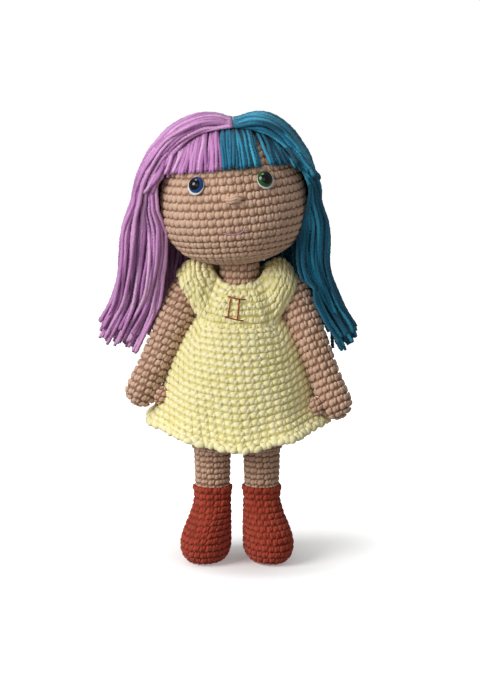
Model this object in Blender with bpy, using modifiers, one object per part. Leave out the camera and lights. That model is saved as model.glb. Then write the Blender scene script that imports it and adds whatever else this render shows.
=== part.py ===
# Crocheted doll with a turning head and swinging arms.
# Metres, +Z up. The doll faces -Y, and its own right side is at -X.
# The origin lies on the floor under the middle of the doll's box.

import bmesh
import bpy
from math import asin, atan, atan2, cos, pi, radians, sin, sqrt
from mathutils import Matrix, Vector

mm = 0.001

# Clearances, walls and cut overruns shared by all pieces
gap = 0.3 * mm
fabric = 2.4 * mm
overrun = 5.0 * mm
weld_distance = 0.001 * mm

# Neck pivot: the head turns about the upright line through it
neck_x = 1.2 * mm
neck_top = 146.0 * mm
neck_radius = 9.3 * mm
head_lean = radians(5.0)

# Head
head_radius = 36.0 * mm
head_opening = 6.5 * mm
head_steps = 28
head_rows = 12

# Eyes: dome, felt disc, stem and washer
eye_radius = 4.0 * mm
eye_height = 3.0 * mm
eye_azimuth = 28.5
eye_elevation = 20.0
felt_radius = 4.9 * mm
felt_thickness = 0.7 * mm
stem_radius = 1.5 * mm
stem_length = 6.6 * mm
washer_radius = 5.0 * mm
washer_thickness = 1.0 * mm

# Nose and mouth
nose_half_width = 3.5 * mm
nose_half_height = 1.5 * mm
nose_half_depth = 1.0 * mm
nose_azimuth = 1.0
nose_elevation = 7.5
mouth_radius = 0.35 * mm
mouth_half_width = 3.4 * mm
mouth_azimuth = -1.5
mouth_elevation = -19.0
mouth_sag = 0.5 * mm

# Hair: fringe
fringe_thickness = 2.8 * mm
fringe_ridge = 0.7 * mm
fringe_top = 72.0
fringe_bottom = 30.0
fringe_end_drop = 5.0
fringe_split = -6.6
fringe_right_end = -74.0
fringe_left_end = 75.0
fringe_locks = 9
fringe_wave = 0.8
fringe_wave_turns = 9

# Hair: hanging curtains. Lifts are heights over the head, reaches are distances from its middle.
curtain_thickness = 5.0 * mm
curtain_ridge = 1.0 * mm
crown_angles = (1.5, 24.0, 50.0, 90.0)
right_lifts = (6.0 * mm, 10.8 * mm, 12.6 * mm, 14.2 * mm)
left_lifts = (6.0 * mm, 10.8 * mm, 9.0 * mm, 7.6 * mm)
right_reaches = (50.2 * mm, 54.5 * mm, 56.3 * mm, 57.5 * mm, 65.5 * mm)
left_reaches = (43.6 * mm, 47.3 * mm, 47.8 * mm, 51.5 * mm, 59.5 * mm)
back_reaches = (43.6 * mm, 44.2 * mm, 44.0 * mm, 44.0 * mm, 46.0 * mm)
back_bulge = 0.8 * mm
crown_rows = 6
hang_rows = 5
over_fringe_slants = (2.0, 14.0)
back_slants = (20.0, 90.0)
hollow_angles = (55.0, 90.0)
hang_length = 73.0 * mm
hang_shares = (0, 0.18, 0.42, 0.7, 1)
tip_jitter = 2.5 * mm
tip_jitter_step = 2.3
curtain_front = -20.0
curtain_front_low = 4.0
curtain_split = 40.0
curtain_back = 88.0
lock_gap = 0.3
side_locks = 8
back_locks = 6

# Trunk: heights with the half width and half depth there
neck_base = 141.5 * mm
neck_base_half = 9.6 * mm
shoulder_height = 136.0 * mm
shoulder_half = 17.2 * mm
shoulder_depth = 11.5 * mm
chest_height = 126.0 * mm
chest_half = 17.2 * mm
chest_depth = 13.8 * mm
waist_height = 117.0 * mm
waist_half = 19.6 * mm
waist_depth = 15.6 * mm
belly_height = 98.0 * mm
belly_half = 24.6 * mm
belly_depth = 20.0 * mm
hip_height = 78.0 * mm
hip_half = 26.6 * mm
hip_depth = 22.0 * mm
seat_height = 64.0 * mm
seat_half = 25.0 * mm
seat_depth = 19.5 * mm
base_height = 57.0 * mm
base_half = 21.8 * mm
base_depth = 13.0 * mm
trunk_segments = 24

# Neck stick
stick_radius = 3.0 * mm
stick_bottom = 100.0 * mm
stick_top = 176.0 * mm
stick_bevel = 0.6 * mm

# Arms
pivot_height = 135.0 * mm
right_arm_length = 60.5 * mm
left_arm_length = 66.0 * mm
arm_radius = 8.6 * mm
wrist_radius = 7.3 * mm
hand_radius = 7.8 * mm
hand_share = 2.6
palm_share = 0.8
arm_hole = 3.0 * mm
right_splay = 25.0
left_splay = 22.0
right_forward = 7.0
left_forward = 13.0
thumb_radius = 3.2 * mm
thumb_length = 4.2 * mm
thumb_rise = 9.6 * mm
thumb_overlap = 1.0 * mm
thumb_turn = 25.0
arm_segments = 16
thread_radius = 0.8 * mm
knot_radius = 1.8 * mm

# Legs and boots
leg_spread = 12.4 * mm
leg_top_radius = 8.8 * mm
leg_bottom_radius = 8.1 * mm
leg_segments = 18
boot_height = 38.0 * mm
cuff_depth = 2.4 * mm
cuff_radius = 9.3 * mm
ankle_radius = 8.7 * mm
ankle_height = 33.0 * mm
ball_height = 9.5 * mm
sole_cut = 1.0 * mm
sole_roundness = 2.4
sole_shares = (0, 0.12, 0.3, 0.6, 1)
foot_half_width = 12.0 * mm
foot_offset = 2.4 * mm
foot_front = 24.5 * mm
foot_back = 12.5 * mm
toe_out = 9.0
boot_segments = 20
insole_thickness = 1.2 * mm

# Dress yoke
neckline_height = 145.6 * mm
neckline_dip = 6.5 * mm
yoke_bottom = 121.0 * mm
armhole_radius = 8.6 * mm
slit_width = 0.8 * mm

# Cap sleeves
sleeve_thickness = 2.5 * mm
sleeve_reach = 31.0 * mm
sleeve_root = 13.0 * mm
sleeve_crest = 12.3 * mm
sleeve_edge = 10.4 * mm
sleeve_root_height = 5.0 * mm
sleeve_shares = (0, 0.45, 0.8, 1)
sleeve_rise = (sleeve_root_height, sleeve_crest, sleeve_crest, sleeve_edge)
sleeve_front = -30.0
sleeve_back = 40.0
sleeve_columns = 8
sleeve_rows = 7

# Skirt and its edging
skirt_waist = 21.1 * mm
skirt_waist_depth = 18.0 * mm
skirt_bell = 38.0 * mm
skirt_bell_depth = 32.5 * mm
skirt_flare = 5.0 * mm
skirt_flare_share = 0.82
skirt_flare_power = 1.6
skirt_swell_power = 0.66
skirt_hem_power = 1.5
skirt_front_hem = 64.5 * mm
skirt_side_hem = 75.0 * mm
skirt_folds = 10
skirt_fold_depth = 0.9 * mm
skirt_fold_power = 4
skirt_outer_shares = (0, 0.07, 0.16, 0.32, 0.5, 0.68, 0.82, 0.92, 1)
skirt_inner_shares = (1, 0.86, 0.5, 0.2, 0)
edging_height = 2.6 * mm
edging_flare = 1.3 * mm
picot_depth = 1.5 * mm
picot_count = 48

# Embroidered sign and the closure at the back
emblem_radius = 0.4 * mm
emblem_width = 9.0 * mm
emblem_height = 9.6 * mm
emblem_upright_spread = 5.0 * mm
emblem_bottom = 124.6 * mm
button_radius = 3.2 * mm
button_thickness = 1.6 * mm
button_height = 138.5 * mm
loop_radius = 0.5 * mm
loop_reach = 1.3 * mm


# Places that several pieces share
head_shift = head_radius * sin(head_lean)
head_x = neck_x - head_shift
head_z = neck_top + gap + sqrt(head_radius ** 2 - (neck_radius - fabric - head_shift) ** 2)
pivot_spread = shoulder_half + arm_radius + 2 * gap
doll_x = -(head_x + (left_reaches[-1] - right_reaches[-1]) / 2)
skirt_front = skirt_bell_depth + skirt_flare + skirt_fold_depth + edging_flare - fabric / 2
doll_y = (skirt_front - back_reaches[-1] - back_bulge) / 2
stick_bore = stick_radius + gap
inner_head = head_radius - fabric
facet_head = inner_head * cos(pi / (2 * (head_rows - 1))) * cos(pi / head_steps)
trunk_rows = (
    (neck_top, neck_radius, neck_radius),
    (neck_base, neck_base_half, neck_base_half),
    (shoulder_height, shoulder_half, shoulder_depth),
    (chest_height, chest_half, chest_depth),
    (waist_height, waist_half, waist_depth),
    (belly_height, belly_half, belly_depth),
    (hip_height, hip_half, hip_depth),
    (seat_height, seat_half, seat_depth),
    (base_height, base_half, base_depth),
)
yoke_seat = yoke_bottom + gap
neckline_low = neckline_height - neckline_dip
extra_heights = [(neck_base + neckline_low) / 2, (neckline_low + shoulder_height) / 2, yoke_seat]
trunk_heights = sorted([row[0] for row in trunk_rows] + extra_heights, reverse=True)


# Scene and materials

def clear_scene():
    for item in list(bpy.data.objects):
        bpy.data.objects.remove(item, do_unlink=True)


def new_collection(name):
    collection = bpy.data.collections.new(name)
    bpy.context.scene.collection.children.link(collection)
    return collection


def plain_material(name, red, green, blue, roughness):
    material = bpy.data.materials.new(name)
    material.use_nodes = True
    shader = material.node_tree.nodes["Principled BSDF"]
    shader.inputs["Base Color"].default_value = (red, green, blue, 1.0)
    shader.inputs["Roughness"].default_value = roughness
    shader.inputs["Metallic"].default_value = 0.0
    return material


def add_empty(name, location, parent=None):
    empty = bpy.data.objects.new(name, None)
    doll_parts.objects.link(empty)
    empty.location = location
    empty.parent = parent
    return empty


def add_part(name, mesh, material, parent, smooth_angle=radians(60)):
    mesh.materials.clear()
    mesh.materials.append(material)
    mesh.shade_smooth()
    mesh.set_sharp_from_angle(angle=smooth_angle)
    part = bpy.data.objects.new(name, mesh)
    doll_parts.objects.link(part)
    part.parent = parent
    return part


def add_cutter(name, mesh, parent):
    cutter = bpy.data.objects.new(name, mesh)
    cutters.objects.link(cutter)
    cutter.parent = parent
    cutter.hide_render = True
    cutter.display_type = "WIRE"
    return cutter


def cut(part, cutter, operation="DIFFERENCE"):
    boolean = part.modifiers.new(cutter.name, "BOOLEAN")
    boolean.object = cutter
    boolean.operation = operation
    boolean.solver = "EXACT"


def finish_mesh(bm, name):
    """Welds a closed surface, turns its faces outwards and makes it a mesh."""
    bmesh.ops.remove_doubles(bm, verts=bm.verts, dist=weld_distance)
    bmesh.ops.recalc_face_normals(bm, faces=bm.faces)
    if bm.calc_volume(signed=True) < 0:
        bmesh.ops.reverse_faces(bm, faces=bm.faces)
    mesh = bpy.data.meshes.new(name)
    bm.to_mesh(mesh)
    bm.free()
    return mesh


# Shape makers

def wrap_mesh(name, rings, segments):
    """A skin through rings, each a function of the angle round it. A ring may be one point."""
    bm = bmesh.new()
    bmesh.ops.create_cone(bm, segments=segments, radius1=1, radius2=1, depth=1, cap_ends=False)
    upright = [edge for edge in bm.edges if abs(edge.verts[0].co.z - edge.verts[1].co.z) > 0.5]
    bmesh.ops.subdivide_edges(bm, edges=upright, cuts=len(rings) - 2, use_grid_fill=True)
    for vertex in bm.verts:
        level = round((0.5 - vertex.co.z) * (len(rings) - 1))
        vertex.co = rings[level](atan2(vertex.co.x, -vertex.co.y))
    return finish_mesh(bm, name)


def slab_mesh(name, columns, rows, place):
    """A block one cell thick, bent by place(u, v, w), where w is 0 inside and 1 outside."""
    bm = bmesh.new()
    bmesh.ops.create_grid(bm, x_segments=columns, y_segments=rows, size=0.5)
    upper = bmesh.ops.extrude_face_region(bm, geom=bm.faces[:], use_keep_orig=True)
    for item in upper["geom"]:
        if isinstance(item, bmesh.types.BMVert):
            item.co.z = 1
    for vertex in bm.verts:
        vertex.co = place(vertex.co.x + 0.5, vertex.co.y + 0.5, vertex.co.z)
    return finish_mesh(bm, name)


def turned_part(name, material, profile, steps, parent):
    """A profile of (radius, height) points, run down its outer side, turned about Z."""
    bm = bmesh.new()
    corners = [bm.verts.new((radius, 0, height)) for radius, height in profile]
    for first, second in zip(corners, corners[1:]):
        bm.edges.new((first, second))
    if profile[0][0] > 0:
        bm.edges.new((corners[-1], corners[0]))
    mesh = bpy.data.meshes.new(name)
    bm.to_mesh(mesh)
    bm.free()
    part = add_part(name, mesh, material, parent)
    screw = part.modifiers.new("turn", "SCREW")
    screw.steps = steps
    screw.render_steps = steps
    screw.use_merge_vertices = True
    screw.merge_threshold = weld_distance
    screw.use_smooth_shade = True
    return part


def cylinder_mesh(name, radius, depth, segments=16):
    bm = bmesh.new()
    bmesh.ops.create_cone(
        bm, segments=segments, radius1=radius, radius2=radius, depth=depth, cap_ends=True
    )
    return finish_mesh(bm, name)


def tube_mesh(name, points, radius):
    """A round thread through the points, with closed ends."""
    curve = bpy.data.curves.new(name, "CURVE")
    curve.dimensions = "3D"
    curve.bevel_depth = radius
    curve.bevel_resolution = 1
    curve.use_fill_caps = True
    spline = curve.splines.new("POLY")
    spline.points.add(len(points) - 1)
    for corner, point in zip(spline.points, points):
        corner.co = (*point, 1)
    guide = bpy.data.objects.new(name, curve)
    cutters.objects.link(guide)
    bpy.context.view_layer.update()
    mesh = bpy.data.meshes.new_from_object(guide.evaluated_get(bpy.context.evaluated_depsgraph_get()))
    bpy.data.objects.remove(guide, do_unlink=True)
    bpy.data.curves.remove(curve)
    bm = bmesh.new()
    bm.from_mesh(mesh)
    bpy.data.meshes.remove(mesh)
    return finish_mesh(bm, name)


def smooth_step(value, start, end):
    share = min(1, max(0, (value - start) / (end - start)))
    return share * share * (3 - 2 * share)


def smooth_row(places, values, place):
    """The value at a place, read from a smooth curve through places and values with no overshoot."""
    index = 0
    while index < len(places) - 2 and place > places[index + 1]:
        index += 1
    rises = [
        (values[k + 1] - values[k]) / (places[k + 1] - places[k]) for k in range(len(places) - 1)
    ]

    def slope(k):
        before = rises[max(k - 1, 0)]
        after = rises[min(k, len(rises) - 1)]
        return 2 * before * after / (before + after) if before * after > 0 else 0

    span = places[index + 1] - places[index]
    t = min(1, max(0, (place - places[index]) / span))
    return (
        (2 * t ** 3 - 3 * t ** 2 + 1) * values[index]
        + (t ** 3 - 2 * t ** 2 + t) * span * slope(index)
        + (3 * t ** 2 - 2 * t ** 3) * values[index + 1]
        + (t ** 3 - t ** 2) * span * slope(index + 1)
    )


# Head

def on_head(part, azimuth, elevation):
    """Turns a piece whose +Z points out of the head to an azimuth from the front and an elevation."""
    part.rotation_euler = (radians(90 - elevation), 0, radians(azimuth))
    return part


def ball_profile(radius, opening, rows):
    """A quarter turn and more, from the top of a ball down to its opening below."""
    last = pi - asin(opening / radius)
    return [(radius * sin(last * k / rows), radius * cos(last * k / rows)) for k in range(rows + 1)]


def make_head():
    outer = ball_profile(head_radius, head_opening, head_rows)
    inner = ball_profile(inner_head, head_opening, head_rows - 1)
    shell = turned_part("head_shell", skin, outer + inner[::-1], head_steps, head_tilt)
    fill_radius = facet_head - gap
    fill_floor = -sqrt(fill_radius ** 2 - head_opening ** 2)
    fill_profile = ball_profile(fill_radius, head_opening, head_rows - 3) + [(0, fill_floor)]
    fill = turned_part("head_stuffing", fibre, fill_profile, head_steps - 8, head_tilt)
    bore_mesh = cylinder_mesh("stick_bore", stick_bore, stick_top + gap - neck_top + 2 * overrun)
    bore = add_cutter("stick_bore", bore_mesh, head_turn)
    bore.location.z = (stick_top + gap - neck_top) / 2 - overrun
    cut(fill, bore)
    washer_top = sqrt(facet_head ** 2 - washer_radius ** 2) - gap
    stem_hole = cylinder_mesh("stem_hole", stem_radius + gap, 2 * overrun, 12)
    pocket = cylinder_mesh("eye_pocket", washer_radius + gap, 2 * overrun, 14)
    stem_end = head_radius - stem_length
    for side, azimuth, colour in (("right", -eye_azimuth, eye_blue), ("left", eye_azimuth, eye_green)):
        hole = on_head(add_cutter("stem_hole_" + side, stem_hole, head_tilt), azimuth, eye_elevation)
        hole.location = hole.rotation_euler.to_matrix() @ Vector((0, 0, head_radius))
        cut(shell, hole)
        room = on_head(add_cutter("eye_pocket_" + side, pocket, head_tilt), azimuth, eye_elevation)
        room.location = room.rotation_euler.to_matrix() @ Vector((0, 0, stem_end - gap + overrun))
        cut(fill, room)
        make_eye(side, azimuth, colour, washer_top, stem_end)
    make_nose()
    make_mouth()


def make_eye(side, azimuth, colour, washer_top, stem_end):
    base = head_radius + gap + felt_thickness + gap
    bulge = (eye_radius ** 2 + eye_height ** 2) / (2 * eye_height)
    rows = 5
    widest = asin(eye_radius / bulge)
    dome = [
        (bulge * sin(widest * k / rows), base + eye_height - bulge + bulge * cos(widest * k / rows))
        for k in range(rows + 1)
    ]
    stem = [(stem_radius, base), (stem_radius, stem_end), (0, stem_end)]
    on_head(turned_part("eye_" + side, colour, dome + stem, 14, head_tilt), azimuth, eye_elevation)
    felt = turned_part(
        "eye_felt_" + side,
        felt_white,
        ring_profile(stem_radius + gap, felt_radius, base - gap, felt_thickness),
        14,
        head_tilt,
    )
    on_head(felt, azimuth, eye_elevation)
    washer = turned_part(
        "eye_washer_" + side,
        washer_plastic,
        ring_profile(stem_radius + gap / 2, washer_radius, washer_top, washer_thickness),
        12,
        head_tilt,
    )
    on_head(washer, azimuth, eye_elevation)


def ring_profile(inner, outer, top, thickness):
    return [(inner, top), (outer, top), (outer, top - thickness), (inner, top - thickness)]


def make_nose():
    bm = bmesh.new()
    bmesh.ops.create_uvsphere(bm, u_segments=10, v_segments=6, radius=1)
    bmesh.ops.scale(bm, vec=(nose_half_width, nose_half_height, nose_half_depth), verts=bm.verts)
    bmesh.ops.translate(bm, vec=(0, 0, head_radius + gap + nose_half_depth), verts=bm.verts)
    nose = add_part("nose", finish_mesh(bm, "nose"), skin, head_tilt)
    on_head(nose, nose_azimuth, nose_elevation)


def make_mouth():
    ride = head_radius + gap + mouth_radius
    points = []
    count = 7
    for k in range(count):
        across = mouth_half_width * (2 * k / (count - 1) - 1)
        down = -mouth_sag * cos(pi / 2 * across / mouth_half_width)
        points.append((across, down, sqrt(ride ** 2 - across ** 2 - down ** 2)))
    mouth = add_part("mouth", tube_mesh("mouth", points, mouth_radius), lip_thread, head_tilt)
    on_head(mouth, mouth_azimuth, mouth_elevation)


# Hair

def make_fringe(side, first, last, material):
    columns = 2 * fringe_locks

    def place(u, v, w):
        azimuth = first + (last - first) * u
        off_centre = abs(azimuth) / fringe_left_end
        low = fringe_bottom - fringe_end_drop * off_centre ** 2
        low += fringe_wave * sin(fringe_wave_turns * u)
        elevation = radians(fringe_top + (low - fringe_top) * v)
        ridge = fringe_ridge * (round(u * columns) % 2) * w
        reach = head_radius + gap + fringe_thickness * w - ridge
        flat = reach * cos(elevation)
        turn = radians(azimuth)
        return Vector((flat * sin(turn), -flat * cos(turn), reach * sin(elevation)))

    mesh = slab_mesh("hair_fringe_" + side, columns, 6, place)
    add_part("hair_fringe_" + side, mesh, material, head_tilt)


def make_curtain(name, side, lifts, reaches, first, last, locks, material):
    """Hair that lies over the head from the parting and hangs from its widest level."""
    columns = 2 * locks
    rows = crown_rows + hang_rows

    def place(u, v, w):
        row = round(v * rows)
        low_front = first + (curtain_front_low - first) * (1 if first < 0 else 0)
        front = first + (low_front - first) * smooth_step(row, crown_rows - 2, rows - 3)
        slant = front + (last - front) * u
        turn = radians(slant)
        ridge = curtain_ridge * (round(u * columns) % 2) * w
        over_fringe = (fringe_thickness + gap) * (1 - smooth_step(slant, *over_fringe_slants))
        seat = head_radius + gap + over_fringe
        if row <= crown_rows:
            angle = crown_angles[0] + (crown_angles[-1] - crown_angles[0]) * row / crown_rows
            lift = smooth_row(crown_angles, lifts, angle)
            back_lift = back_reaches[0] - head_radius
            lift += (back_lift - lift) * smooth_step(abs(slant), *back_slants) * (angle / crown_angles[-1])
            outside = head_radius + lift - ridge
            hollow = outside - curtain_thickness
            inside = seat + max(0, hollow - seat) * smooth_step(angle, *hollow_angles)
            reach = inside + (outside - inside) * w
            beta = radians(angle)
            return Vector((
                side * (gap + reach * sin(beta) * cos(turn)),
                reach * sin(turn),
                reach * cos(beta) * cos(turn),
            ))
        share = (row - crown_rows) / hang_rows
        side_reach = smooth_row(hang_shares, reaches, share)
        back_reach = smooth_row(hang_shares, back_reaches, share)
        reach = side_reach + (back_reach - side_reach) * smooth_step(abs(slant), *back_slants)
        reach -= ridge + curtain_thickness * (1 - w)
        drop = hang_length + tip_jitter * sin(tip_jitter_step * u * locks + side)
        return Vector((
            side * (gap + reach * cos(turn)),
            reach * sin(turn),
            -drop * share,
        ))

    add_part(name, slab_mesh(name, columns, rows, place), material, head_middle)


def make_hair():
    make_fringe("right", fringe_right_end, fringe_split - lock_gap, lilac_yarn)
    make_fringe("left", fringe_split + lock_gap, fringe_left_end, teal_yarn)
    for word, side, lifts, reaches, material in (
        ("right", -1, right_lifts, right_reaches, lilac_yarn),
        ("left", 1, left_lifts, left_reaches, teal_yarn),
    ):
        split = curtain_split - lock_gap
        shape = (side, lifts, reaches)
        make_curtain("hair_side_" + word, *shape, curtain_front, split, side_locks, material)
        split = curtain_split + lock_gap
        make_curtain("hair_back_" + word, *shape, split, curtain_back, back_locks, material)


# Trunk

def trunk_half(height, column):
    heights = [-row[0] for row in trunk_rows]
    return smooth_row(heights, [row[column] for row in trunk_rows], -height)


def trunk_lean(height):
    """How far the trunk's middle has moved sideways at a height, all of it by the shoulders."""
    return neck_x * min(1, (height - base_height) / (chest_height - base_height))


def trunk_ring(height, offset=0.0):
    """The trunk's outline at a height, grown by an offset."""
    lean = trunk_lean(height)
    half_width = trunk_half(height, 1) + offset
    half_depth = trunk_half(height, 2) + offset

    def point(turn):
        return Vector((lean + half_width * sin(turn), -half_depth * cos(turn), height))

    return point


def pole(x, y, z):
    return lambda turn: Vector((x, y, z))


def spread_heights(top, bottom, count):
    return [top + (bottom - top) * k / (count - 1) for k in range(count)]


def make_trunk():
    floor = base_height + fabric
    outer = [trunk_ring(z) for z in trunk_heights]
    inner = [trunk_ring(z, -fabric) for z in trunk_heights[:-1] + [floor]]
    rings = [pole(0, 0, floor)] + inner[::-1] + outer + [pole(0, 0, base_height)]
    shell = add_part("body_shell", wrap_mesh("body_shell", rings, trunk_segments), skin, doll)
    fill_heights = [neck_top - gap] + trunk_heights[1:-1] + [floor + gap]
    rings = [trunk_ring(z, -fabric - gap) for z in fill_heights]
    rings = [pole(neck_x, 0, fill_heights[0])] + rings + [pole(0, 0, fill_heights[-1])]
    fill_mesh = wrap_mesh("body_stuffing", rings, trunk_segments)
    fill = add_part("body_stuffing", fill_mesh, fibre, doll)
    bore_length = neck_top - stick_bottom + gap + overrun
    bore = add_cutter("stick_well", cylinder_mesh("stick_well", stick_bore, bore_length), doll)
    bore.location = (neck_x, 0, stick_bottom - gap + bore_length / 2)
    cut(fill, bore)
    thread_mesh = cylinder_mesh("thread_way", thread_radius + gap, 2 * pivot_spread, 12)
    thread_way = add_cutter("thread_way", thread_mesh, doll)
    thread_way.location = (neck_x, 0, pivot_height)
    thread_way.rotation_euler.y = pi / 2
    cut(shell, thread_way)
    cut(fill, thread_way)
    stick = turned_part(
        "neck_stick",
        wood,
        [
            (0, stick_top),
            (stick_radius - stick_bevel, stick_top),
            (stick_radius, stick_top - stick_bevel),
            (stick_radius, stick_bottom + stick_bevel),
            (stick_radius - stick_bevel, stick_bottom),
            (0, stick_bottom),
        ],
        12,
        doll,
    )
    stick.location.x = neck_x
    cut(stick, thread_way)


# Arms

def arm_outline(offset, length):
    """Heights below the pivot with the arm's radius there, from the shoulder cap to the fingertips."""
    rows = []
    cap_rows = 4
    hole = asin(arm_hole / arm_radius)
    for k in range(cap_rows):
        angle = hole + (pi / 2 - hole) * k / (cap_rows - 1)
        rows.append((-(arm_radius - offset) * cos(angle), (arm_radius - offset) * sin(angle)))
    wrist_depth = length - hand_share * hand_radius
    rows.append((wrist_depth / 2, (arm_radius + wrist_radius) / 2 - offset))
    rows.append((wrist_depth, wrist_radius - offset))
    rows.append((wrist_depth + palm_share * hand_radius, (wrist_radius + hand_radius) / 2 - offset))
    tip_rows = 4
    for k in range(tip_rows):
        angle = pi / 2 * k / tip_rows
        depth = length - hand_radius + (hand_radius - offset) * sin(angle)
        rows.append((depth, (hand_radius - offset) * cos(angle)))
    return rows


def arm_ring(depth, radius):
    return lambda turn: Vector((radius * sin(turn), -radius * cos(turn), -depth))


def make_arm(word, side, length, splay, forward, swing, thread_hole, thumb_mesh, knot_room):
    frame = add_empty("arm_frame_" + word, (0, 0, 0), swing)
    frame.rotation_euler = (-radians(forward), -side * radians(splay), 0)
    outer = [arm_ring(*row) for row in arm_outline(0, length)]
    inner = [arm_ring(*row) for row in arm_outline(fabric, length)]
    rings = [pole(0, 0, fabric - length)] + inner[::-1] + outer + [pole(0, 0, -length)]
    arm = add_part("arm_" + word, wrap_mesh("arm_" + word, rings, arm_segments), skin, frame)
    hole = add_cutter("arm_hole_" + word, thread_hole, swing)
    hole.location.x = -side * (arm_radius + overrun)
    hole.rotation_euler.y = pi / 2
    cut(arm, hole)
    thumb = add_cutter("thumb_" + word, thumb_mesh, frame)
    out = hand_radius + thumb_radius - thumb_overlap
    inward = -side * out * cos(radians(thumb_turn))
    thumb.location = (inward, -out * sin(radians(thumb_turn)), thumb_rise - length)
    cut(arm, thumb, "UNION")
    rows = arm_outline(fabric + gap, length)
    rings = [pole(0, 0, -rows[0][0])] + [arm_ring(*row) for row in rows]
    rings.append(pole(0, 0, fabric + gap - length))
    name = "arm_stuffing_" + word
    fill = add_part(name, wrap_mesh(name, rings, arm_segments - 4), fibre, frame)
    room = add_cutter("knot_room_" + word, knot_room, swing)
    room.rotation_euler.y = pi / 2
    cut(fill, room)


def make_arms():
    thread_hole = cylinder_mesh("arm_hole", thread_radius + gap, 2 * (arm_radius + overrun) - 2 * gap, 12)
    knot_room = cylinder_mesh("knot_room", knot_radius + 2 * gap, 2 * (arm_radius + overrun), 14)
    bm = bmesh.new()
    bmesh.ops.create_uvsphere(bm, u_segments=10, v_segments=8, radius=1)
    bmesh.ops.scale(bm, vec=(thumb_radius, thumb_radius, thumb_length), verts=bm.verts)
    thumb = finish_mesh(bm, "thumb")
    for word, side, length, splay, forward in (
        ("right", -1, right_arm_length, right_splay, right_forward),
        ("left", 1, left_arm_length, left_splay, left_forward),
    ):
        swing = add_empty(
            "arm_" + word + "_swing", (neck_x + side * pivot_spread, 0, pivot_height), doll
        )
        make_arm(word, side, length, splay, forward, swing, thread_hole, thumb, knot_room)
    make_shoulder_thread()


def make_shoulder_thread():
    knot_x = pivot_spread - (arm_radius - fabric) + 3 * gap + knot_radius
    bm = bmesh.new()
    for side in (-1, 1):
        spot = Matrix.Translation((0, 0, side * knot_x))
        bmesh.ops.create_uvsphere(bm, u_segments=10, v_segments=8, radius=knot_radius, matrix=spot)
    knots = add_cutter("thread_knots", finish_mesh(bm, "thread_knots"), doll)
    cord = cylinder_mesh("shoulder_thread", thread_radius, 2 * knot_x, 10)
    thread = add_part("shoulder_thread", cord, thread_white, doll)
    for item in (knots, thread):
        item.location = (neck_x, 0, pivot_height)
        item.rotation_euler.y = pi / 2
    cut(thread, knots, "UNION")


# Legs and boots

def leg_tube_ring(radius, height):
    return lambda turn: Vector((radius * sin(turn), -radius * cos(turn), height))


def foot_ring(side, height, inset, moved_to=None):
    """Outline of the boot at a height: round at the ankle, long and turned out at the foot."""
    level = height if moved_to is None else moved_to
    foot = 1 - smooth_step(height, ball_height, ankle_height)
    low = max(0, ball_height - height) / (ball_height + sole_cut)
    rounding = (1 - low ** sole_roundness) ** (1 / sole_roundness)
    half_width = ankle_radius + (foot_half_width - ankle_radius) * foot
    front = ankle_radius + (foot_front - ankle_radius) * foot
    back = ankle_radius + (foot_back - ankle_radius) * foot
    middle = (front + back) / 2
    offset = foot_offset * foot

    def point(turn):
        x = (half_width * rounding - inset) * sin(turn)
        y = -(middle * rounding - inset) * cos(turn)
        spot = Vector((x, y - (front - back) / 2, level))
        spot.x += side * offset
        return Matrix.Rotation(side * radians(toe_out) * foot, 3, "Z") @ spot

    return point


def make_leg(word, side):
    stand = add_empty("leg_frame_" + word, (side * leg_spread, 0, 0), doll)
    seat = boot_height - cuff_depth + gap
    top = base_height - gap
    rows = 3
    heights = spread_heights(top, seat, rows)
    radii = spread_heights(leg_top_radius, leg_bottom_radius, rows)
    outer = [leg_tube_ring(r, z) for r, z in zip(radii, heights)]
    inner = [leg_tube_ring(r - fabric, z) for r, z in zip(radii, heights)]
    rings = outer + inner[::-1] + outer[:1]
    add_part("leg_" + word, wrap_mesh("leg_" + word, rings, leg_segments), skin, stand)

    sole = [foot_ring(side, share * ball_height, 0) for share in sole_shares]
    rising = spread_heights(ball_height, ankle_height, 6)
    upper = [foot_ring(side, z, 0) for z in rising[1:]]
    floor = fabric
    bottom = floor + gap
    top_face = bottom + insole_thickness
    fill_bottom = top_face + gap
    inside = [foot_ring(side, z, fabric) for z in [floor, fill_bottom] + rising + [seat - gap]]
    socket = leg_bottom_radius + gap
    cuff = [
        leg_tube_ring(cuff_radius, seat),
        leg_tube_ring(cuff_radius, boot_height - gap),
        leg_tube_ring((cuff_radius + socket) / 2, boot_height),
        leg_tube_ring(socket, boot_height - gap),
        leg_tube_ring(socket, seat - gap),
    ]
    rings = [pole(0, 0, 0)] + sole + upper + cuff + inside[::-1] + [pole(0, 0, floor)]
    add_part("boot_" + word, wrap_mesh("boot_" + word, rings, boot_segments), boot_yarn, stand)

    board = foot_ring(side, bottom, fabric + gap)
    lid = foot_ring(side, bottom, fabric + gap, top_face)
    rings = [pole(0, 0, bottom), board, lid, pole(0, 0, top_face)]
    add_part("insole_" + word, wrap_mesh("insole_" + word, rings, boot_segments), insole_sheet, stand)

    inset = fabric + gap
    rings = [foot_ring(side, z, inset) for z in [fill_bottom] + rising]
    rings = [pole(0, 0, fill_bottom)] + rings
    rings.append(leg_tube_ring(leg_bottom_radius - inset, seat - gap))
    rings.append(leg_tube_ring(leg_top_radius - inset, top - gap))
    rings.append(pole(0, 0, top - gap))
    name = "leg_stuffing_" + word
    add_part(name, wrap_mesh(name, rings, boot_segments), fibre, stand)


# Dress

def neckline(turn):
    """Height of the yoke's top edge: level at the back and sides, dipping at the front."""
    return neckline_height - neckline_dip * smooth_step(cos(turn), 0.1, 1)


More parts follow.
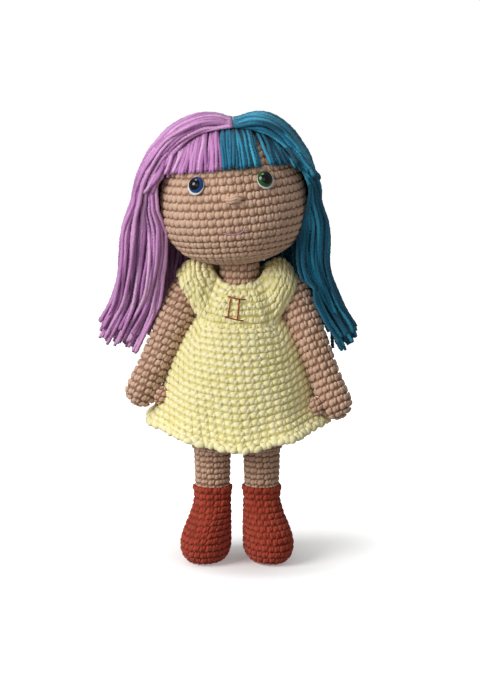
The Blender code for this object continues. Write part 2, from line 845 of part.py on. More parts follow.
def make_yoke():
    slit = slit_width / (2 * (trunk_half(neckline_height, 1) + gap + fabric))
    heights = [neckline_height] + [z for z in trunk_heights[1:] if z >= yoke_seat]
    rows = len(heights) - 1

    def place(u, v, w):
        turn = pi + slit + (2 * pi - 2 * slit) * u
        height = min(heights[round(v * rows)], neckline(turn))
        return trunk_ring(height, gap + fabric * w)(turn)

    yoke = add_part("dress_yoke", slab_mesh("dress_yoke", trunk_segments, rows, place), dress_yarn, doll)
    hole_mesh = cylinder_mesh("armhole", armhole_radius, 2 * overrun, 20)
    for word, side in (("right", -1), ("left", 1)):
        hole = add_cutter("armhole_" + word, hole_mesh, doll)
        hole.location = (neck_x + side * (shoulder_half + fabric), 0, pivot_height)
        hole.rotation_euler.y = pi / 2
        cut(yoke, hole)


def make_sleeve(word, side):
    def place(u, v, w):
        turn = radians(sleeve_front + (sleeve_back - sleeve_front) * u)
        x = sleeve_root + (sleeve_reach - sleeve_root) * v
        radius = smooth_row(sleeve_shares, sleeve_rise, v) + sleeve_thickness * w
        return Vector((side * x, radius * sin(turn), radius * cos(turn)))

    mesh = slab_mesh("sleeve_" + word, sleeve_columns, sleeve_rows, place)
    sleeve = add_part("sleeve_" + word, mesh, dress_yarn, doll)
    sleeve.location = (neck_x, 0, pivot_height)
    cut(sleeve, bpy.data.objects["yoke_block"])


def make_yoke_block():
    """The yoke's outside grown by the gap, filled solid: it shapes what sits on the yoke."""
    heights = trunk_heights[:6]
    rings = [trunk_ring(z, fabric + 2 * gap) for z in heights]
    rings = [pole(neck_x, 0, neck_top)] + rings + [pole(neck_x, 0, heights[-1])]
    add_cutter("yoke_block", wrap_mesh("yoke_block", rings, trunk_segments), doll)


def hem_height(turn):
    return skirt_front_hem + (skirt_side_hem - skirt_front_hem) * abs(sin(turn)) ** skirt_hem_power


def skirt_point(turn, share, offset):
    top = yoke_bottom
    height = top + (hem_height(turn) - top) * share
    swell = share ** skirt_swell_power
    flare = skirt_flare * max(0, (share - skirt_flare_share) / (1 - skirt_flare_share)) ** skirt_flare_power
    fold = skirt_fold_depth * share ** skirt_fold_power * cos(skirt_folds * turn)
    grow = flare + fold + offset
    half_width = skirt_waist + (skirt_bell - skirt_waist) * swell + grow
    half_depth = skirt_waist_depth + (skirt_bell_depth - skirt_waist_depth) * swell + grow
    return Vector((trunk_lean(height) + half_width * sin(turn), -half_depth * cos(turn), height))


def skirt_ring(share, offset):
    return lambda turn: skirt_point(turn, share, offset)


def make_skirt():
    outer = [skirt_ring(share, 0) for share in skirt_outer_shares]
    inner = [skirt_ring(share, -fabric) for share in skirt_inner_shares]
    rings = outer + inner + outer[:1]
    add_part("dress_skirt", wrap_mesh("dress_skirt", rings, picot_count), dress_yarn, doll)

    def edging_ring(level, offset):
        def point(turn):
            spot = skirt_point(turn, 1, offset)
            notch = picot_depth * (round(turn * picot_count / pi) % 2)
            spot.z -= gap + (edging_height - notch) * level
            spot.x += level * edging_flare * sin(turn)
            spot.y -= level * edging_flare * cos(turn)
            return spot

        return point

    rings = [edging_ring(0, 0), edging_ring(1, -fabric / 2), edging_ring(0, -fabric), edging_ring(0, 0)]
    add_part("hem_edging", wrap_mesh("hem_edging", rings, 2 * picot_count), dress_yarn, doll)


def yoke_surface(x, height, offset):
    """A spot on the front of the yoke, at a width and a height, raised by an offset."""
    lean = trunk_lean(height)
    grow = gap + fabric + offset
    half_width = trunk_half(height, 1) + grow
    half_depth = trunk_half(height, 2) + grow
    return Vector((x, -half_depth * sqrt(1 - ((x - lean) / half_width) ** 2), height))


def make_emblem():
    lift = gap + emblem_radius
    top = emblem_bottom + emblem_height
    strokes = []
    count = 6
    for height in (top, emblem_bottom):
        span = spread_heights(neck_x - emblem_width / 2, neck_x + emblem_width / 2, count)
        strokes.append([yoke_surface(x, height, lift) for x in span])
    for side in (-1, 1):
        x = neck_x + side * emblem_upright_spread / 2
        strokes.append([yoke_surface(x, z, lift) for z in spread_heights(top, emblem_bottom, count)])
    meshes = [tube_mesh("stroke", stroke, emblem_radius) for stroke in strokes]
    emblem = add_part("emblem", meshes[0], emblem_thread, doll)
    for number, mesh in enumerate(meshes[1:]):
        cut(emblem, add_cutter("stroke_" + str(number), mesh, doll), "UNION")


def make_closure():
    seat = trunk_half(button_height, 2) + gap + fabric + gap
    rim = button_thickness / 2
    button = turned_part(
        "back_button",
        button_plastic,
        [
            (0, button_thickness - rim / 2),
            (button_radius * 0.6, button_thickness - rim / 2),
            (button_radius * 0.75, button_thickness),
            (button_radius * 0.92, button_thickness - rim / 4),
            (button_radius, rim),
            (button_radius * 0.85, 0),
            (0, 0),
        ],
        14,
        doll,
    )
    slope = shoulder_slope(button_height)
    lift = button_radius * abs(slope) / 2
    button.location = (neck_x + button_radius + slit_width, seat + lift, button_height)
    button.rotation_euler = (-pi / 2 + slope, 0, 0)
    ride = button_radius + loop_radius + gap
    points = []
    turns = 12
    for k in range(turns + 1):
        angle = pi * 0.62 - 2 * pi * 0.62 * k / turns
        points.append((ride * cos(angle), ride * sin(angle), loop_radius + gap))
    start = Vector((-ride - loop_reach - slit_width, loop_radius + gap, loop_radius + gap))
    end = Vector((-ride - loop_reach - slit_width, -loop_radius - gap, loop_radius + gap))
    points = [start] + points + [end]
    loop = add_part("button_loop", tube_mesh("button_loop", points, loop_radius), dress_yarn, doll)
    loop.location = button.location
    loop.rotation_euler = button.rotation_euler


def shoulder_slope(height):
    """Lean of the yoke's back at a height, as an angle from upright."""
    step = button_radius
    rise = trunk_half(height - step, 2) - trunk_half(height + step, 2)
    return atan(rise / (2 * step))


clear_scene()
doll_parts = new_collection("crocheted_doll")
cutters = new_collection("doll_cutters")

skin = plain_material("beige_cotton", 0.55, 0.36, 0.25, 0.9)
lilac_yarn = plain_material("lilac_cotton", 0.47, 0.20, 0.45, 0.85)
teal_yarn = plain_material("teal_cotton", 0.02, 0.17, 0.23, 0.85)
dress_yarn = plain_material("yellow_cotton", 0.88, 0.80, 0.42, 0.9)
boot_yarn = plain_material("rust_cotton", 0.42, 0.07, 0.03, 0.9)
emblem_thread = plain_material("rust_thread", 0.30, 0.08, 0.02, 0.7)
lip_thread = plain_material("pink_thread", 0.60, 0.25, 0.28, 0.7)
thread_white = plain_material("white_thread", 0.80, 0.78, 0.72, 0.8)
fibre = plain_material("polyester_fibre", 0.90, 0.90, 0.90, 0.95)
felt_white = plain_material("white_felt", 0.85, 0.85, 0.85, 0.95)
eye_blue = plain_material("blue_eye_plastic", 0.02, 0.08, 0.30, 0.1)
eye_green = plain_material("green_eye_plastic", 0.03, 0.15, 0.02, 0.1)
washer_plastic = plain_material("washer_plastic", 0.75, 0.75, 0.75, 0.4)
button_plastic = plain_material("button_plastic", 0.85, 0.80, 0.60, 0.3)
wood = plain_material("beech_stick", 0.60, 0.42, 0.24, 0.6)
insole_sheet = plain_material("insole_plastic", 0.45, 0.42, 0.38, 0.8)

doll = add_empty("doll", (doll_x, doll_y, 0))
head_turn = add_empty("head_turn", (neck_x, 0, neck_top), doll)
head_middle = add_empty("head_middle", (head_x - neck_x, 0, head_z - neck_top), head_turn)
head_tilt = add_empty("head_tilt", (0, 0, 0), head_middle)
head_tilt.rotation_euler.y = -head_lean

make_head()
make_hair()
make_trunk()
make_arms()
make_leg("right", -1)
make_leg("left", 1)
make_yoke()
make_yoke_block()
make_sleeve("right", -1)
make_sleeve("left", 1)
make_skirt()
make_emblem()
make_closure()
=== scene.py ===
import random
from math import asin, copysign, cos, exp, floor, pi, radians, sin, sqrt, tau

import bmesh
import bpy
from mathutils import Euler, Matrix, Vector, noise
from mathutils.bvhtree import BVHTree


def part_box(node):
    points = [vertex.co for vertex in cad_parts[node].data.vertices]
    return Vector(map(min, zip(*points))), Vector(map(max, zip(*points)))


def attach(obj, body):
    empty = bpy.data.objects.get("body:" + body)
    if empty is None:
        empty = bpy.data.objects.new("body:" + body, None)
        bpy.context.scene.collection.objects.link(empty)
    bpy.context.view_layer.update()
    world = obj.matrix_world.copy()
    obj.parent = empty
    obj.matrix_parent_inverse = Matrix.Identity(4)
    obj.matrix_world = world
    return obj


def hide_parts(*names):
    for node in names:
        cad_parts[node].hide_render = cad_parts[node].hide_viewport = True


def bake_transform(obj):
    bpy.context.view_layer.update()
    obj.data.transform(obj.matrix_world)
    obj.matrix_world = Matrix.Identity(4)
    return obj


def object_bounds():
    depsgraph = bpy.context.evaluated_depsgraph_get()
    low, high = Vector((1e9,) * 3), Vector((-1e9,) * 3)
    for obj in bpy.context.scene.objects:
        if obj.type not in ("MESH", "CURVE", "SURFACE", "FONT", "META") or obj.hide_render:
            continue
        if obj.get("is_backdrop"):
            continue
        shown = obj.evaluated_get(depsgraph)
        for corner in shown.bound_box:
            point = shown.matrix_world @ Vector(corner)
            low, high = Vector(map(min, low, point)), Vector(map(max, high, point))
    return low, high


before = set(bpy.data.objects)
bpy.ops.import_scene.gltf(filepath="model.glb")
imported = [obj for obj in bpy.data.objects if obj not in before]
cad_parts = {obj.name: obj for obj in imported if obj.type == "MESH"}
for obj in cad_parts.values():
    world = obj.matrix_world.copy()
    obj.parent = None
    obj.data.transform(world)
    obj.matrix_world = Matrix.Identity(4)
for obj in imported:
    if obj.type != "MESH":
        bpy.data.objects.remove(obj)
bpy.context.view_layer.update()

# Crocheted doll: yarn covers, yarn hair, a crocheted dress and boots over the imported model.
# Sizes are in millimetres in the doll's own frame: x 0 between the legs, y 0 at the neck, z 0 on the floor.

mm = 0.001
stickLow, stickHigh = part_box("neck_stick")
neckX = 1.2  # the neck stands this far from the middle between the legs
dollMove = Vector(((stickLow.x + stickHigh.x) / 2 - neckX * mm, (stickLow.y + stickHigh.y) / 2, 0))
dollFrame = Matrix.Translation(dollMove) @ Matrix.Scale(mm, 4)
dice = random.Random(11)
skinWall = 1.6  # thickness of the crocheted fabric


def addObject(name, data):
    thing = bpy.data.objects.new(name, data)
    bpy.context.scene.collection.objects.link(thing)
    return thing


# Camera

cameraSettings = {
    "place": (0.00644, -1.25415, 0.338),  # metres, a little above the head and in front
    "aim": (0.00644, -0.00415, 0.112),
    "lens": 134.67,
    "sensor": 36,
    "clipEnd": 60,  # metres, past the far edge of the floor
}
camera = addObject("camera", bpy.data.cameras.new("camera"))
camera.location = cameraSettings["place"]
look = Vector(cameraSettings["aim"]) - camera.location
camera.rotation_euler = look.to_track_quat("-Z", "Y").to_euler()
camera.data.lens = cameraSettings["lens"]
camera.data.sensor_width = cameraSettings["sensor"]
camera.data.clip_end = cameraSettings["clipEnd"]
bpy.context.scene.camera = camera
print("camera placed")


# Materials

def linear(hexCode):
    parts = [int(hexCode[k:k + 2], 16) / 255 for k in (1, 3, 5)]
    return tuple(c / 12.92 if c <= 0.04045 else ((c + 0.055) / 1.055) ** 2.4 for c in parts) + (1.0,)


def addNode(tree, kind, settings=None, values=None, links=None):
    node = tree.nodes.new("ShaderNode" + kind)
    node.location = (len(tree.nodes) * 190 - 2400, 0)
    for key, value in (settings or {}).items():
        setattr(node, key, value)
    for socket, value in (values or {}).items():
        node.inputs[socket].default_value = value
    for socket, source in (links or {}).items():
        tree.links.new(source, node.inputs[socket])
    return node


def startMaterial(name, settings):
    material = bpy.data.materials.new(name)
    material.use_nodes = True
    tree = material.node_tree
    shader = tree.nodes["Principled BSDF"]
    for socket, value in settings.items():
        shader.inputs[socket].default_value = value
    return material, tree, shader, addNode(tree, "TexCoord")


def speckle(tree, place, size, detail, distortion=0.0):
    # noise with marks of this many millimetres
    values = {"Scale": 1 / (size * mm), "Detail": detail, "Distortion": distortion}
    return addNode(tree, "TexNoise", None, values, {"Vector": place}).outputs["Fac"]


def tint(tree, shader, first, second, share):
    mix = addNode(tree, "Mix", {"data_type": "RGBA"}, {"A": linear(first), "B": linear(second)}, {"Factor": share})
    tree.links.new(mix.outputs["Result"], shader.inputs["Base Color"])


def roughen(tree, shader, height, strength, depth):
    bump = addNode(tree, "Bump", None, {"Strength": strength, "Distance": depth * mm}, {"Height": height})
    tree.links.new(bump.outputs["Normal"], shader.inputs["Normal"])


def yarnMaterial(name, shades, roughness, sheen, varied, plyTurns=0, patch=9.0, fibreWidth=0.35):
    # cotton yarn: stitches and strands differ a little in tone, with fine fibres and soft broad patches
    material, tree, shader, coords = startMaterial(name, {
        "Roughness": roughness, "IOR": 1.46, "Specular IOR Level": 0.3,
        "Sheen Weight": sheen, "Sheen Roughness": 0.5,
    })
    own = addNode(tree, "NewGeometry").outputs["Random Per Island"]
    broad = speckle(tree, coords.outputs["Object"], patch, 2.0)
    fibres = speckle(tree, coords.outputs["Object"], fibreWidth, 3.0)
    broadShare, fibreShare, plyShare = 0.5, 0.3, 0.35
    tone = 0.5 - 0.5 * (varied + broadShare + fibreShare)  # keeps the mean tone at the middle shade
    for share, source in ((varied, own), (broadShare, broad), (fibreShare, fibres)):
        step = addNode(tree, "Math", {"operation": "MULTIPLY_ADD"}, {1: share}, {0: source})
        if isinstance(tone, float):
            step.inputs[2].default_value = tone
        else:
            tree.links.new(tone, step.inputs[2])
        tone = step.outputs[0]
    ramp = addNode(tree, "ValToRGB", None, None, {"Fac": tone})
    stops = ramp.color_ramp.elements
    stops[0].position, stops[0].color = 0.2, linear(shades[0])
    stops[1].position, stops[1].color = 0.8, linear(shades[2])
    stops.new(0.5).color = linear(shades[1])
    tree.links.new(ramp.outputs["Color"], shader.inputs["Base Color"])
    height = fibres
    if plyTurns:  # plies run slantwise round each loop of yarn
        turned = addNode(
            tree, "VectorMath", {"operation": "DOT_PRODUCT"}, {1: (tau * 2, tau * plyTurns, 0)},
            {0: coords.outputs["UV"]},
        )
        ply = addNode(tree, "Math", {"operation": "SINE"}, None, {0: turned.outputs["Value"]})
        height = addNode(
            tree, "Math", {"operation": "MULTIPLY_ADD"}, {1: plyShare}, {0: ply.outputs[0], 2: fibres}
        ).outputs[0]
    roughen(tree, shader, height, 0.5, 0.2)
    return material


def plasticMaterial(name, colour, second, roughness, coat=0.0, marks=1.5):
    # moulded plastic: even colour with a faint flow mottle and a soft skin texture
    material, tree, shader, coords = startMaterial(
        name, {"Roughness": roughness, "IOR": 1.5, "Coat Weight": coat, "Coat Roughness": 0.03}
    )
    tint(tree, shader, colour, second, speckle(tree, coords.outputs["Object"], marks, 2.0))
    roughen(tree, shader, speckle(tree, coords.outputs["Object"], 0.3, 2.0), 0.15, 0.05)
    return material


def fibreMaterial(name, colour, shade, size):
    # loose or felted fibre: matt, with tangled hairs at a fraction of a millimetre
    material, tree, shader, coords = startMaterial(name, {"Roughness": 0.95, "Sheen Weight": 0.3})
    tangle = speckle(tree, coords.outputs["Object"], size, 5.0, 1.5)
    tint(tree, shader, shade, colour, tangle)
    roughen(tree, shader, tangle, 0.6, 0.3)
    return material


def woodMaterial(name, light, dark):
    # turned beech: long pale grain along the stick with darker flecks
    material, tree, shader, coords = startMaterial(name, {"Roughness": 0.55, "IOR": 1.5})
    stretched = addNode(tree, "Mapping", None, {"Scale": (1, 1, 0.06)}, {"Vector": coords.outputs["Object"]})
    grain = speckle(tree, stretched.outputs["Vector"], 0.5, 3.0)
    tint(tree, shader, dark, light, grain)
    roughen(tree, shader, grain, 0.3, 0.1)
    return material


skinYarn = yarnMaterial("beige_cotton_crocheted", ("#bc967e", "#d3af95", "#e2c0a8"), 0.85, 0.2, 0.1, 3)
# the grounds are the same yarns in darker shades: painted shade in the gaps between stitches
skinGroundPaintedShade = yarnMaterial("beige_cotton_ground_painted_shade", ("#8c6752", "#9d765f", "#ab846c"), 0.9, 0.1, 0.0)
dressYarn = yarnMaterial("yellow_cotton_crocheted", ("#efe5a2", "#f8efb7", "#fdf6cc"), 0.8, 0.2, 0.15, 3)
dressGroundPaintedShade = yarnMaterial("yellow_cotton_ground_painted_shade", ("#dccd7a", "#e6da8e", "#eee39e"), 0.9, 0.1, 0.0)
bootYarn = yarnMaterial("rust_cotton_crocheted", ("#9a3420", "#b2422b", "#c55439"), 0.85, 0.15, 0.15, 3)
bootGroundPaintedShade = yarnMaterial("rust_cotton_ground_painted_shade", ("#7a2a19", "#8c3521", "#9b402a"), 0.9, 0.1, 0.0)
lilacYarn = yarnMaterial("lilac_cotton_plied", ("#a96aa5", "#cd8fc7", "#e7b6e0"), 0.7, 0.25, 0.6, 0, 16.0, 0.8)
tealYarn = yarnMaterial("teal_cotton_plied", ("#064358", "#127597", "#3ba8c8"), 0.7, 0.2, 0.6, 0, 16.0, 0.8)
emblemThread = yarnMaterial("rust_thread_stitched", ("#7d2c14", "#9c3b1e", "#b14d2a"), 0.6, 0.2, 0.0)
lipThread = yarnMaterial("pink_thread_stitched", ("#a97086", "#bd8a9c", "#cc9caa"), 0.7, 0.2, 0.0)
whiteThread = yarnMaterial("white_thread_plied", ("#c9c2b4", "#e2dccf", "#f0ece2"), 0.7, 0.2, 0.0)
fillFibre = fibreMaterial("polyester_fibre_loose", "#f4f3f0", "#cfcdc8", 1.2)
feltCut = fibreMaterial("white_felt_cut", "#f6f6f4", "#d8d8d6", 0.4)
pupilBlack = plasticMaterial("black_acrylic_moulded", "#030304", "#060608", 0.08)
irisBlue = plasticMaterial("blue_acrylic_moulded", "#0c2556", "#2c63b4", 0.08, 0.0, 0.8)
irisGreen = plasticMaterial("green_acrylic_moulded", "#123a0e", "#2f6e22", 0.08, 0.0, 0.8)
washerPlastic = plasticMaterial("polypropylene_washer", "#d8d8d4", "#e6e6e2", 0.4)
buttonPlastic = plasticMaterial("polyester_button", "#efe6b4", "#fbf5d2", 0.22, 0.4, 2.5)
insoleSheet = plasticMaterial("insole_sheet_plastic", "#8d8578", "#a09a8c", 0.7)
beech = woodMaterial("beech_turned", "#dcb98a", "#b78d5c")
print("materials made")


# Shape helpers

def easeStep(value, start, end):
    share = min(1, max(0, (value - start) / (end - start)))
    return share * share * (3 - 2 * share)


def easeRow(places, values, place):
    # a smooth curve through values at rising places, without overshoot
    index = 0
    while index < len(places) - 2 and place > places[index + 1]:
        index += 1
    rises = [(values[k + 1] - values[k]) / (places[k + 1] - places[k]) for k in range(len(places) - 1)]

    def slope(k):
        before, after = rises[max(k - 1, 0)], rises[min(k, len(rises) - 1)]
        return 2 * before * after / (before + after) if before * after > 0 else 0

    span = places[index + 1] - places[index]
    t = min(1, max(0, (place - places[index]) / span))
    return (
        (2 * t ** 3 - 3 * t ** 2 + 1) * values[index]
        + (t ** 3 - 2 * t ** 2 + t) * span * slope(index)
        + (3 * t ** 2 - 2 * t ** 3) * values[index + 1]
        + (t ** 3 - t ** 2) * span * slope(index + 1)
    )


def newPiece(name, bm, materials):
    mesh = bpy.data.meshes.new(name)
    bm.to_mesh(mesh)
    bm.free()
    mesh.shade_smooth()
    for material in materials:
        mesh.materials.append(material)
    return addObject(name, mesh)


def standFor(piece, body, node, finish):
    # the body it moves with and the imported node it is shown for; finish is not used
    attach(piece, body)
    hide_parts(node)


def stitchTemplate(name, lobes):
    # one stitch, 1 wide and 1 high: two tapered loops of yarn, each a closed form of 30 faces
    bm = bmesh.new()
    bm.loops.layers.uv.new("UVMap")
    for centre, half, lean, tip, taper in lobes:
        made = bmesh.ops.create_uvsphere(bm, u_segments=6, v_segments=5, radius=1, calc_uvs=True)
        for vertex in made["verts"]:
            vertex.co.x = copysign(abs(vertex.co.x) ** 0.8, vertex.co.x) * (1 + taper * vertex.co.z)
            vertex.co.y *= 1 + 0.5 * taper * vertex.co.z
        spot = (
            Matrix.Translation(centre)
            @ Matrix.Rotation(radians(lean), 4, "Z")
            @ Matrix.Rotation(radians(tip), 4, "X")
            @ Matrix.Rotation(-pi / 2, 4, "X")
            @ Matrix.Diagonal((half[0], half[2], half[1], 1))
        )
        bmesh.ops.transform(bm, matrix=spot, verts=made["verts"])
    mesh = bpy.data.meshes.new(name)
    bm.to_mesh(mesh)
    bm.free()
    mesh.shade_smooth()
    return mesh


def putCopy(bm, template, spot):
    copy = template.copy()
    copy.transform(spot)
    bm.from_mesh(copy)
    bpy.data.meshes.remove(copy)


def runningLengths(spots):
    lengths = [0.0]
    for first, second in zip(spots, spots[1:]):
        lengths.append(lengths[-1] + (second - first).length)
    return lengths


def rowBounds(place, height):
    # splits a surface into rows of about one stitch, measured down it a little off its front
    steps, offFront = 300, 0.11
    shares = [k / steps for k in range(steps + 1)]
    lengths = runningLengths([place(offFront, share) for share in shares])
    count = max(1, round(lengths[-1] / (height * mm)))
    bounds, index = [], 0
    for row in range(count + 1):
        target = lengths[-1] * row / count
        while index < steps and lengths[index + 1] < target:
            index += 1
        index = min(index, steps - 1)
        step = max(lengths[index + 1] - lengths[index], 1e-9)
        bounds.append(shares[index] + (shares[index + 1] - shares[index]) * min(1, (target - lengths[index]) / step))
    return bounds


def addStitches(bm, place, settings, keep=None):
    # covers place(u, v), where u goes once round and v down from the first row
    fewest, steps, strayShare = 5, 40, 0.6
    wide, high = settings["stitch"]
    slide, loose = settings["slide"], settings["loose"]
    bounds = rowBounds(place, high)
    for row, (top, low) in enumerate(zip(bounds, bounds[1:])):
        v = (top + low) / 2
        ring = [place(k / steps, v) for k in range(steps)]
        around = sum((ring[k] - ring[k - 1]).length for k in range(steps))
        count = max(fewest, round(around / (wide * mm)))
        for k in range(count):
            u = (k + 0.5 + slide * row) / count
            along = place(u + 0.5 / count, v) - place(u - 0.5 / count, v)
            up = place(u, top) - place(u, low)
            here = place(u, v)
            if keep and not keep(here):
                continue
            normal = along.cross(up).normalized()
            spot = Matrix((along, up, normal * settings["depth"] * mm)).transposed().to_4x4()
            spot.translation = here
            turn = Matrix.Rotation(dice.uniform(-loose, loose), 4, "Z")
            stray = Matrix.Translation([dice.uniform(-loose, loose) * strayShare for _ in range(2)] + [0])
            grow = Matrix.Diagonal([1 + dice.uniform(-loose, loose) for _ in range(3)] + [1])
            putCopy(bm, stitchKinds[settings["kind"]], spot @ stray @ turn @ grow)


ridgeShape = ((0.0, 0.0), (0.22, 0.7), (0.5, 1.0), (0.8, 0.85))  # share of a row, share of its full height


def addGround(bm, place, settings, wall):
    # the cloth under the stitches: one plump ridge for each row, with a wall, in the second material, a darker copy of
    # the yarn that is painted shade in the gaps between stitches
    bounds = rowBounds(place, settings["stitch"][1])
    rings = [(top + (low - top) * share, rise) for top, low in zip(bounds, bounds[1:]) for share, rise in ridgeShape]
    rings.append((bounds[-1], 0.0))
    made = bmesh.ops.create_grid(bm, x_segments=settings["columns"], y_segments=len(rings) - 1, size=0.5)
    for vertex in made["verts"]:
        v, rise = rings[round((0.5 - vertex.co.y) * (len(rings) - 1))]
        vertex.co = place(vertex.co.x + 0.5, v, settings["inset"] - settings["ridge"] * rise)
    bmesh.ops.remove_doubles(bm, verts=bm.verts, dist=0.01 * mm)
    bmesh.ops.recalc_face_normals(bm, faces=bm.faces)
    if bm.calc_volume(signed=True) < 0:
        bmesh.ops.reverse_faces(bm, faces=bm.faces)
    if wall:
        bmesh.ops.solidify(bm, geom=bm.faces[:], thickness=wall * mm)
    for face in bm.faces:
        face.material_index = 1


stitchShapes = {
    # two loops each, with centre, half sizes, lean and tip in degrees, and taper
    "cover": (
        ((-0.1, -0.04, 0.0), (0.47, 0.44, 0.62), -20, -9, 0.12), ((0.34, 0.1, 0.02), (0.23, 0.4, 0.57), -14, -4, 0.15),
    ),
    "limb": (
        ((-0.12, -0.03, 0.0), (0.38, 0.44, 0.66), -26, -6, 0.12), ((0.32, 0.1, 0.0), (0.2, 0.38, 0.56), -10, -6, 0.1),
    ),
    "skirt": (
        ((-0.06, 0.04, 0.0), (0.56, 0.44, 0.62), 12, -6, 0.0), ((0.36, -0.08, 0.0), (0.32, 0.38, 0.54), -12, 0, 0.0),
    ),
    "yoke": (
        ((-0.1, 0.02, 0.0), (0.46, 0.46, 0.62), 28, 0, 0.1), ((0.34, -0.06, -0.02), (0.28, 0.42, 0.57), -18, 0, 0.1),
    ),
    "picot": (
        ((-0.2, 0.0, 0.0), (0.42, 0.5, 0.6), 20, 0, 0.0), ((0.25, -0.16, 0.05), (0.4, 0.46, 0.6), -30, 0, 0.0),
    ),
}
stitchKinds = {kind: stitchTemplate(kind + "_stitch", lobes) for kind, lobes in stitchShapes.items()}


def coverPiece(name, place, settings, materials):
    bm = bmesh.new()
    addGround(bm, place, settings, skinWall)
    addStitches(bm, place, settings)
    return newPiece(name, bm, materials)


# Head

headSettings = {
    "middle": (-1.94, 0.0, 182.10),
    "radius": 35.6,
    "lean": -5.0,  # degrees, towards the doll's right
    "opening": 6.5,
    "jowl": (1.3, 111, 15),  # extra fullness under the cheeks, its angle from the top, its spread
    "chin": (24.0, 0.62),  # below this drop the underside flattens to this share
    "kind": "cover", "stitch": (4.15, 4.0), "depth": 1.3, "slide": 0.06, "loose": 0.06,
    "columns": 72, "inset": 0.45, "ridge": 0.85,
}
headFrame = (
    dollFrame @ Matrix.Translation(headSettings["middle"])
    @ Matrix.Rotation(radians(headSettings["lean"]), 4, "Y")
)


def flattenChin(height):
    drop, share = headSettings["chin"]
    return height if height > -drop else -drop + (height + drop) * share


def headPlace(u, v, inset=0.0):
    turn = tau * u
    angle = v * (pi - asin(headSettings["opening"] / headSettings["radius"]))
    full, fullest, spread = headSettings["jowl"]
    radius = headSettings["radius"] + full * exp(-((angle - radians(fullest)) / radians(spread)) ** 2) - inset
    spot = Vector((radius * sin(angle) * sin(turn), -radius * sin(angle) * cos(turn), radius * cos(angle)))
    spot.z = flattenChin(spot.z)
    return headFrame @ spot


def onHead(azimuth, elevation, lift=0.0):
    side, up = radians(azimuth), radians(elevation)
    reach = headSettings["radius"] + 0.4 + lift
    return headFrame @ Vector((reach * cos(up) * sin(side), -reach * cos(up) * cos(side), reach * sin(up)))


head = coverPiece("head_crochet", headPlace, headSettings, (skinYarn, skinGroundPaintedShade))
standFor(head, "head", "head_shell", "beige_cotton")
print("head crocheted")


# Trunk

trunkSettings = {
    "rows": (  # height, half width, half depth
        (151.6, 9.2, 9.2), (141.5, 9.6, 9.6), (136.0, 17.2, 11.5), (126.0, 17.2, 13.8), (117.0, 19.6, 15.6),
        (98.0, 24.6, 20.0), (78.0, 26.6, 22.0), (64.0, 25.0, 19.5), (57.0, 21.8, 13.0),
    ),
    "kind": "limb", "stitch": (3.9, 3.8), "depth": 1.2, "slide": 0.06, "loose": 0.1,
    "columns": 48, "inset": 0.5, "ridge": 0.85,
    "floorShare": 0.84,  # where the side ends and the underside begins
    "leans": (57, 126),  # between these heights the trunk leans over to the neck
}
trunkDrops = [-row[0] for row in trunkSettings["rows"]]


def trunkHalf(height, column):
    return easeRow(trunkDrops, [row[column] for row in trunkSettings["rows"]], -height)


def trunkLean(height):
    low, high = trunkSettings["leans"]
    return neckX * min(1, (height - low) / (high - low))


def trunkPlace(u, v, inset=0.0):
    turn, share = tau * u, trunkSettings["floorShare"]
    top, base = trunkSettings["rows"][0][0], trunkSettings["rows"][-1][0]
    height = top - (top - base) * min(1, v / share)
    closing = 1 - max(0, (v - share) / (1 - share))
    wide, deep = (trunkHalf(height, 1) - inset) * closing, (trunkHalf(height, 2) - inset) * closing
    if closing < 1:
        height += inset
    return dollFrame @ Vector((trunkLean(height) + wide * sin(turn), -deep * cos(turn), height))


body = coverPiece("body_crochet", trunkPlace, trunkSettings, (skinYarn, skinGroundPaintedShade))
standFor(body, "torso", "body_shell", "beige_cotton")
print("trunk crocheted")


# Arms

armSettings = {
    "kind": "limb", "stitch": (4.0, 3.7), "depth": 1.3, "slide": 0.07, "loose": 0.13,
    "columns": 32, "inset": 0.5, "ridge": 0.55,
    "radius": 8.6,
    "wrist": 7.3,
    "hand": 7.8,
    "handLength": 2.6,  # in radii of the hand, like the next
    "handWidens": 0.8,
    "rings": (5, 8),  # steps round the shoulder and the fingertips
    "hole": 3.0,
    "spread": 26.4,
    "pivotHeight": 135.0,
}
thumbSettings = {
    "radius": 3.2,
    "half": 4.2,
    "rise": 9.6,  # over the fingertips
    "turn": 25.0,  # degrees forwards
    "sink": 1.0,
    "kind": "limb", "stitch": (3.4, 3.0), "depth": 1.0, "slide": 0.0, "loose": 0.06,
    "columns": 16, "inset": 0.4, "ridge": 0.6,
}
armShapes = {
    "right": {"side": -1, "length": 60.5, "splay": 25.0, "forward": 7.0},
    "left": {"side": 1, "length": 66.0, "splay": 22.0, "forward": 13.0},
}


def armOutline(length):
    radius, wrist, hand = armSettings["radius"], armSettings["wrist"], armSettings["hand"]
    shoulderSteps, handSteps = armSettings["rings"]
    hole = asin(armSettings["hole"] / radius)
    rows = []
    for k in range(shoulderSteps + 1):
        angle = hole + (pi / 2 - hole) * k / shoulderSteps
        rows.append((-radius * cos(angle), radius * sin(angle)))
    wristDepth = length - armSettings["handLength"] * hand
    rows.append((wristDepth / 2, (radius + wrist) / 2))
    rows.append((wristDepth, wrist))
    rows.append((wristDepth + armSettings["handWidens"] * hand, (wrist + hand) / 2))
    for k in range(handSteps):
        angle = pi / 2 * k / handSteps
        rows.append((length - hand + hand * sin(angle), hand * cos(angle)))
    rows.append((length, 0.0))
    return rows


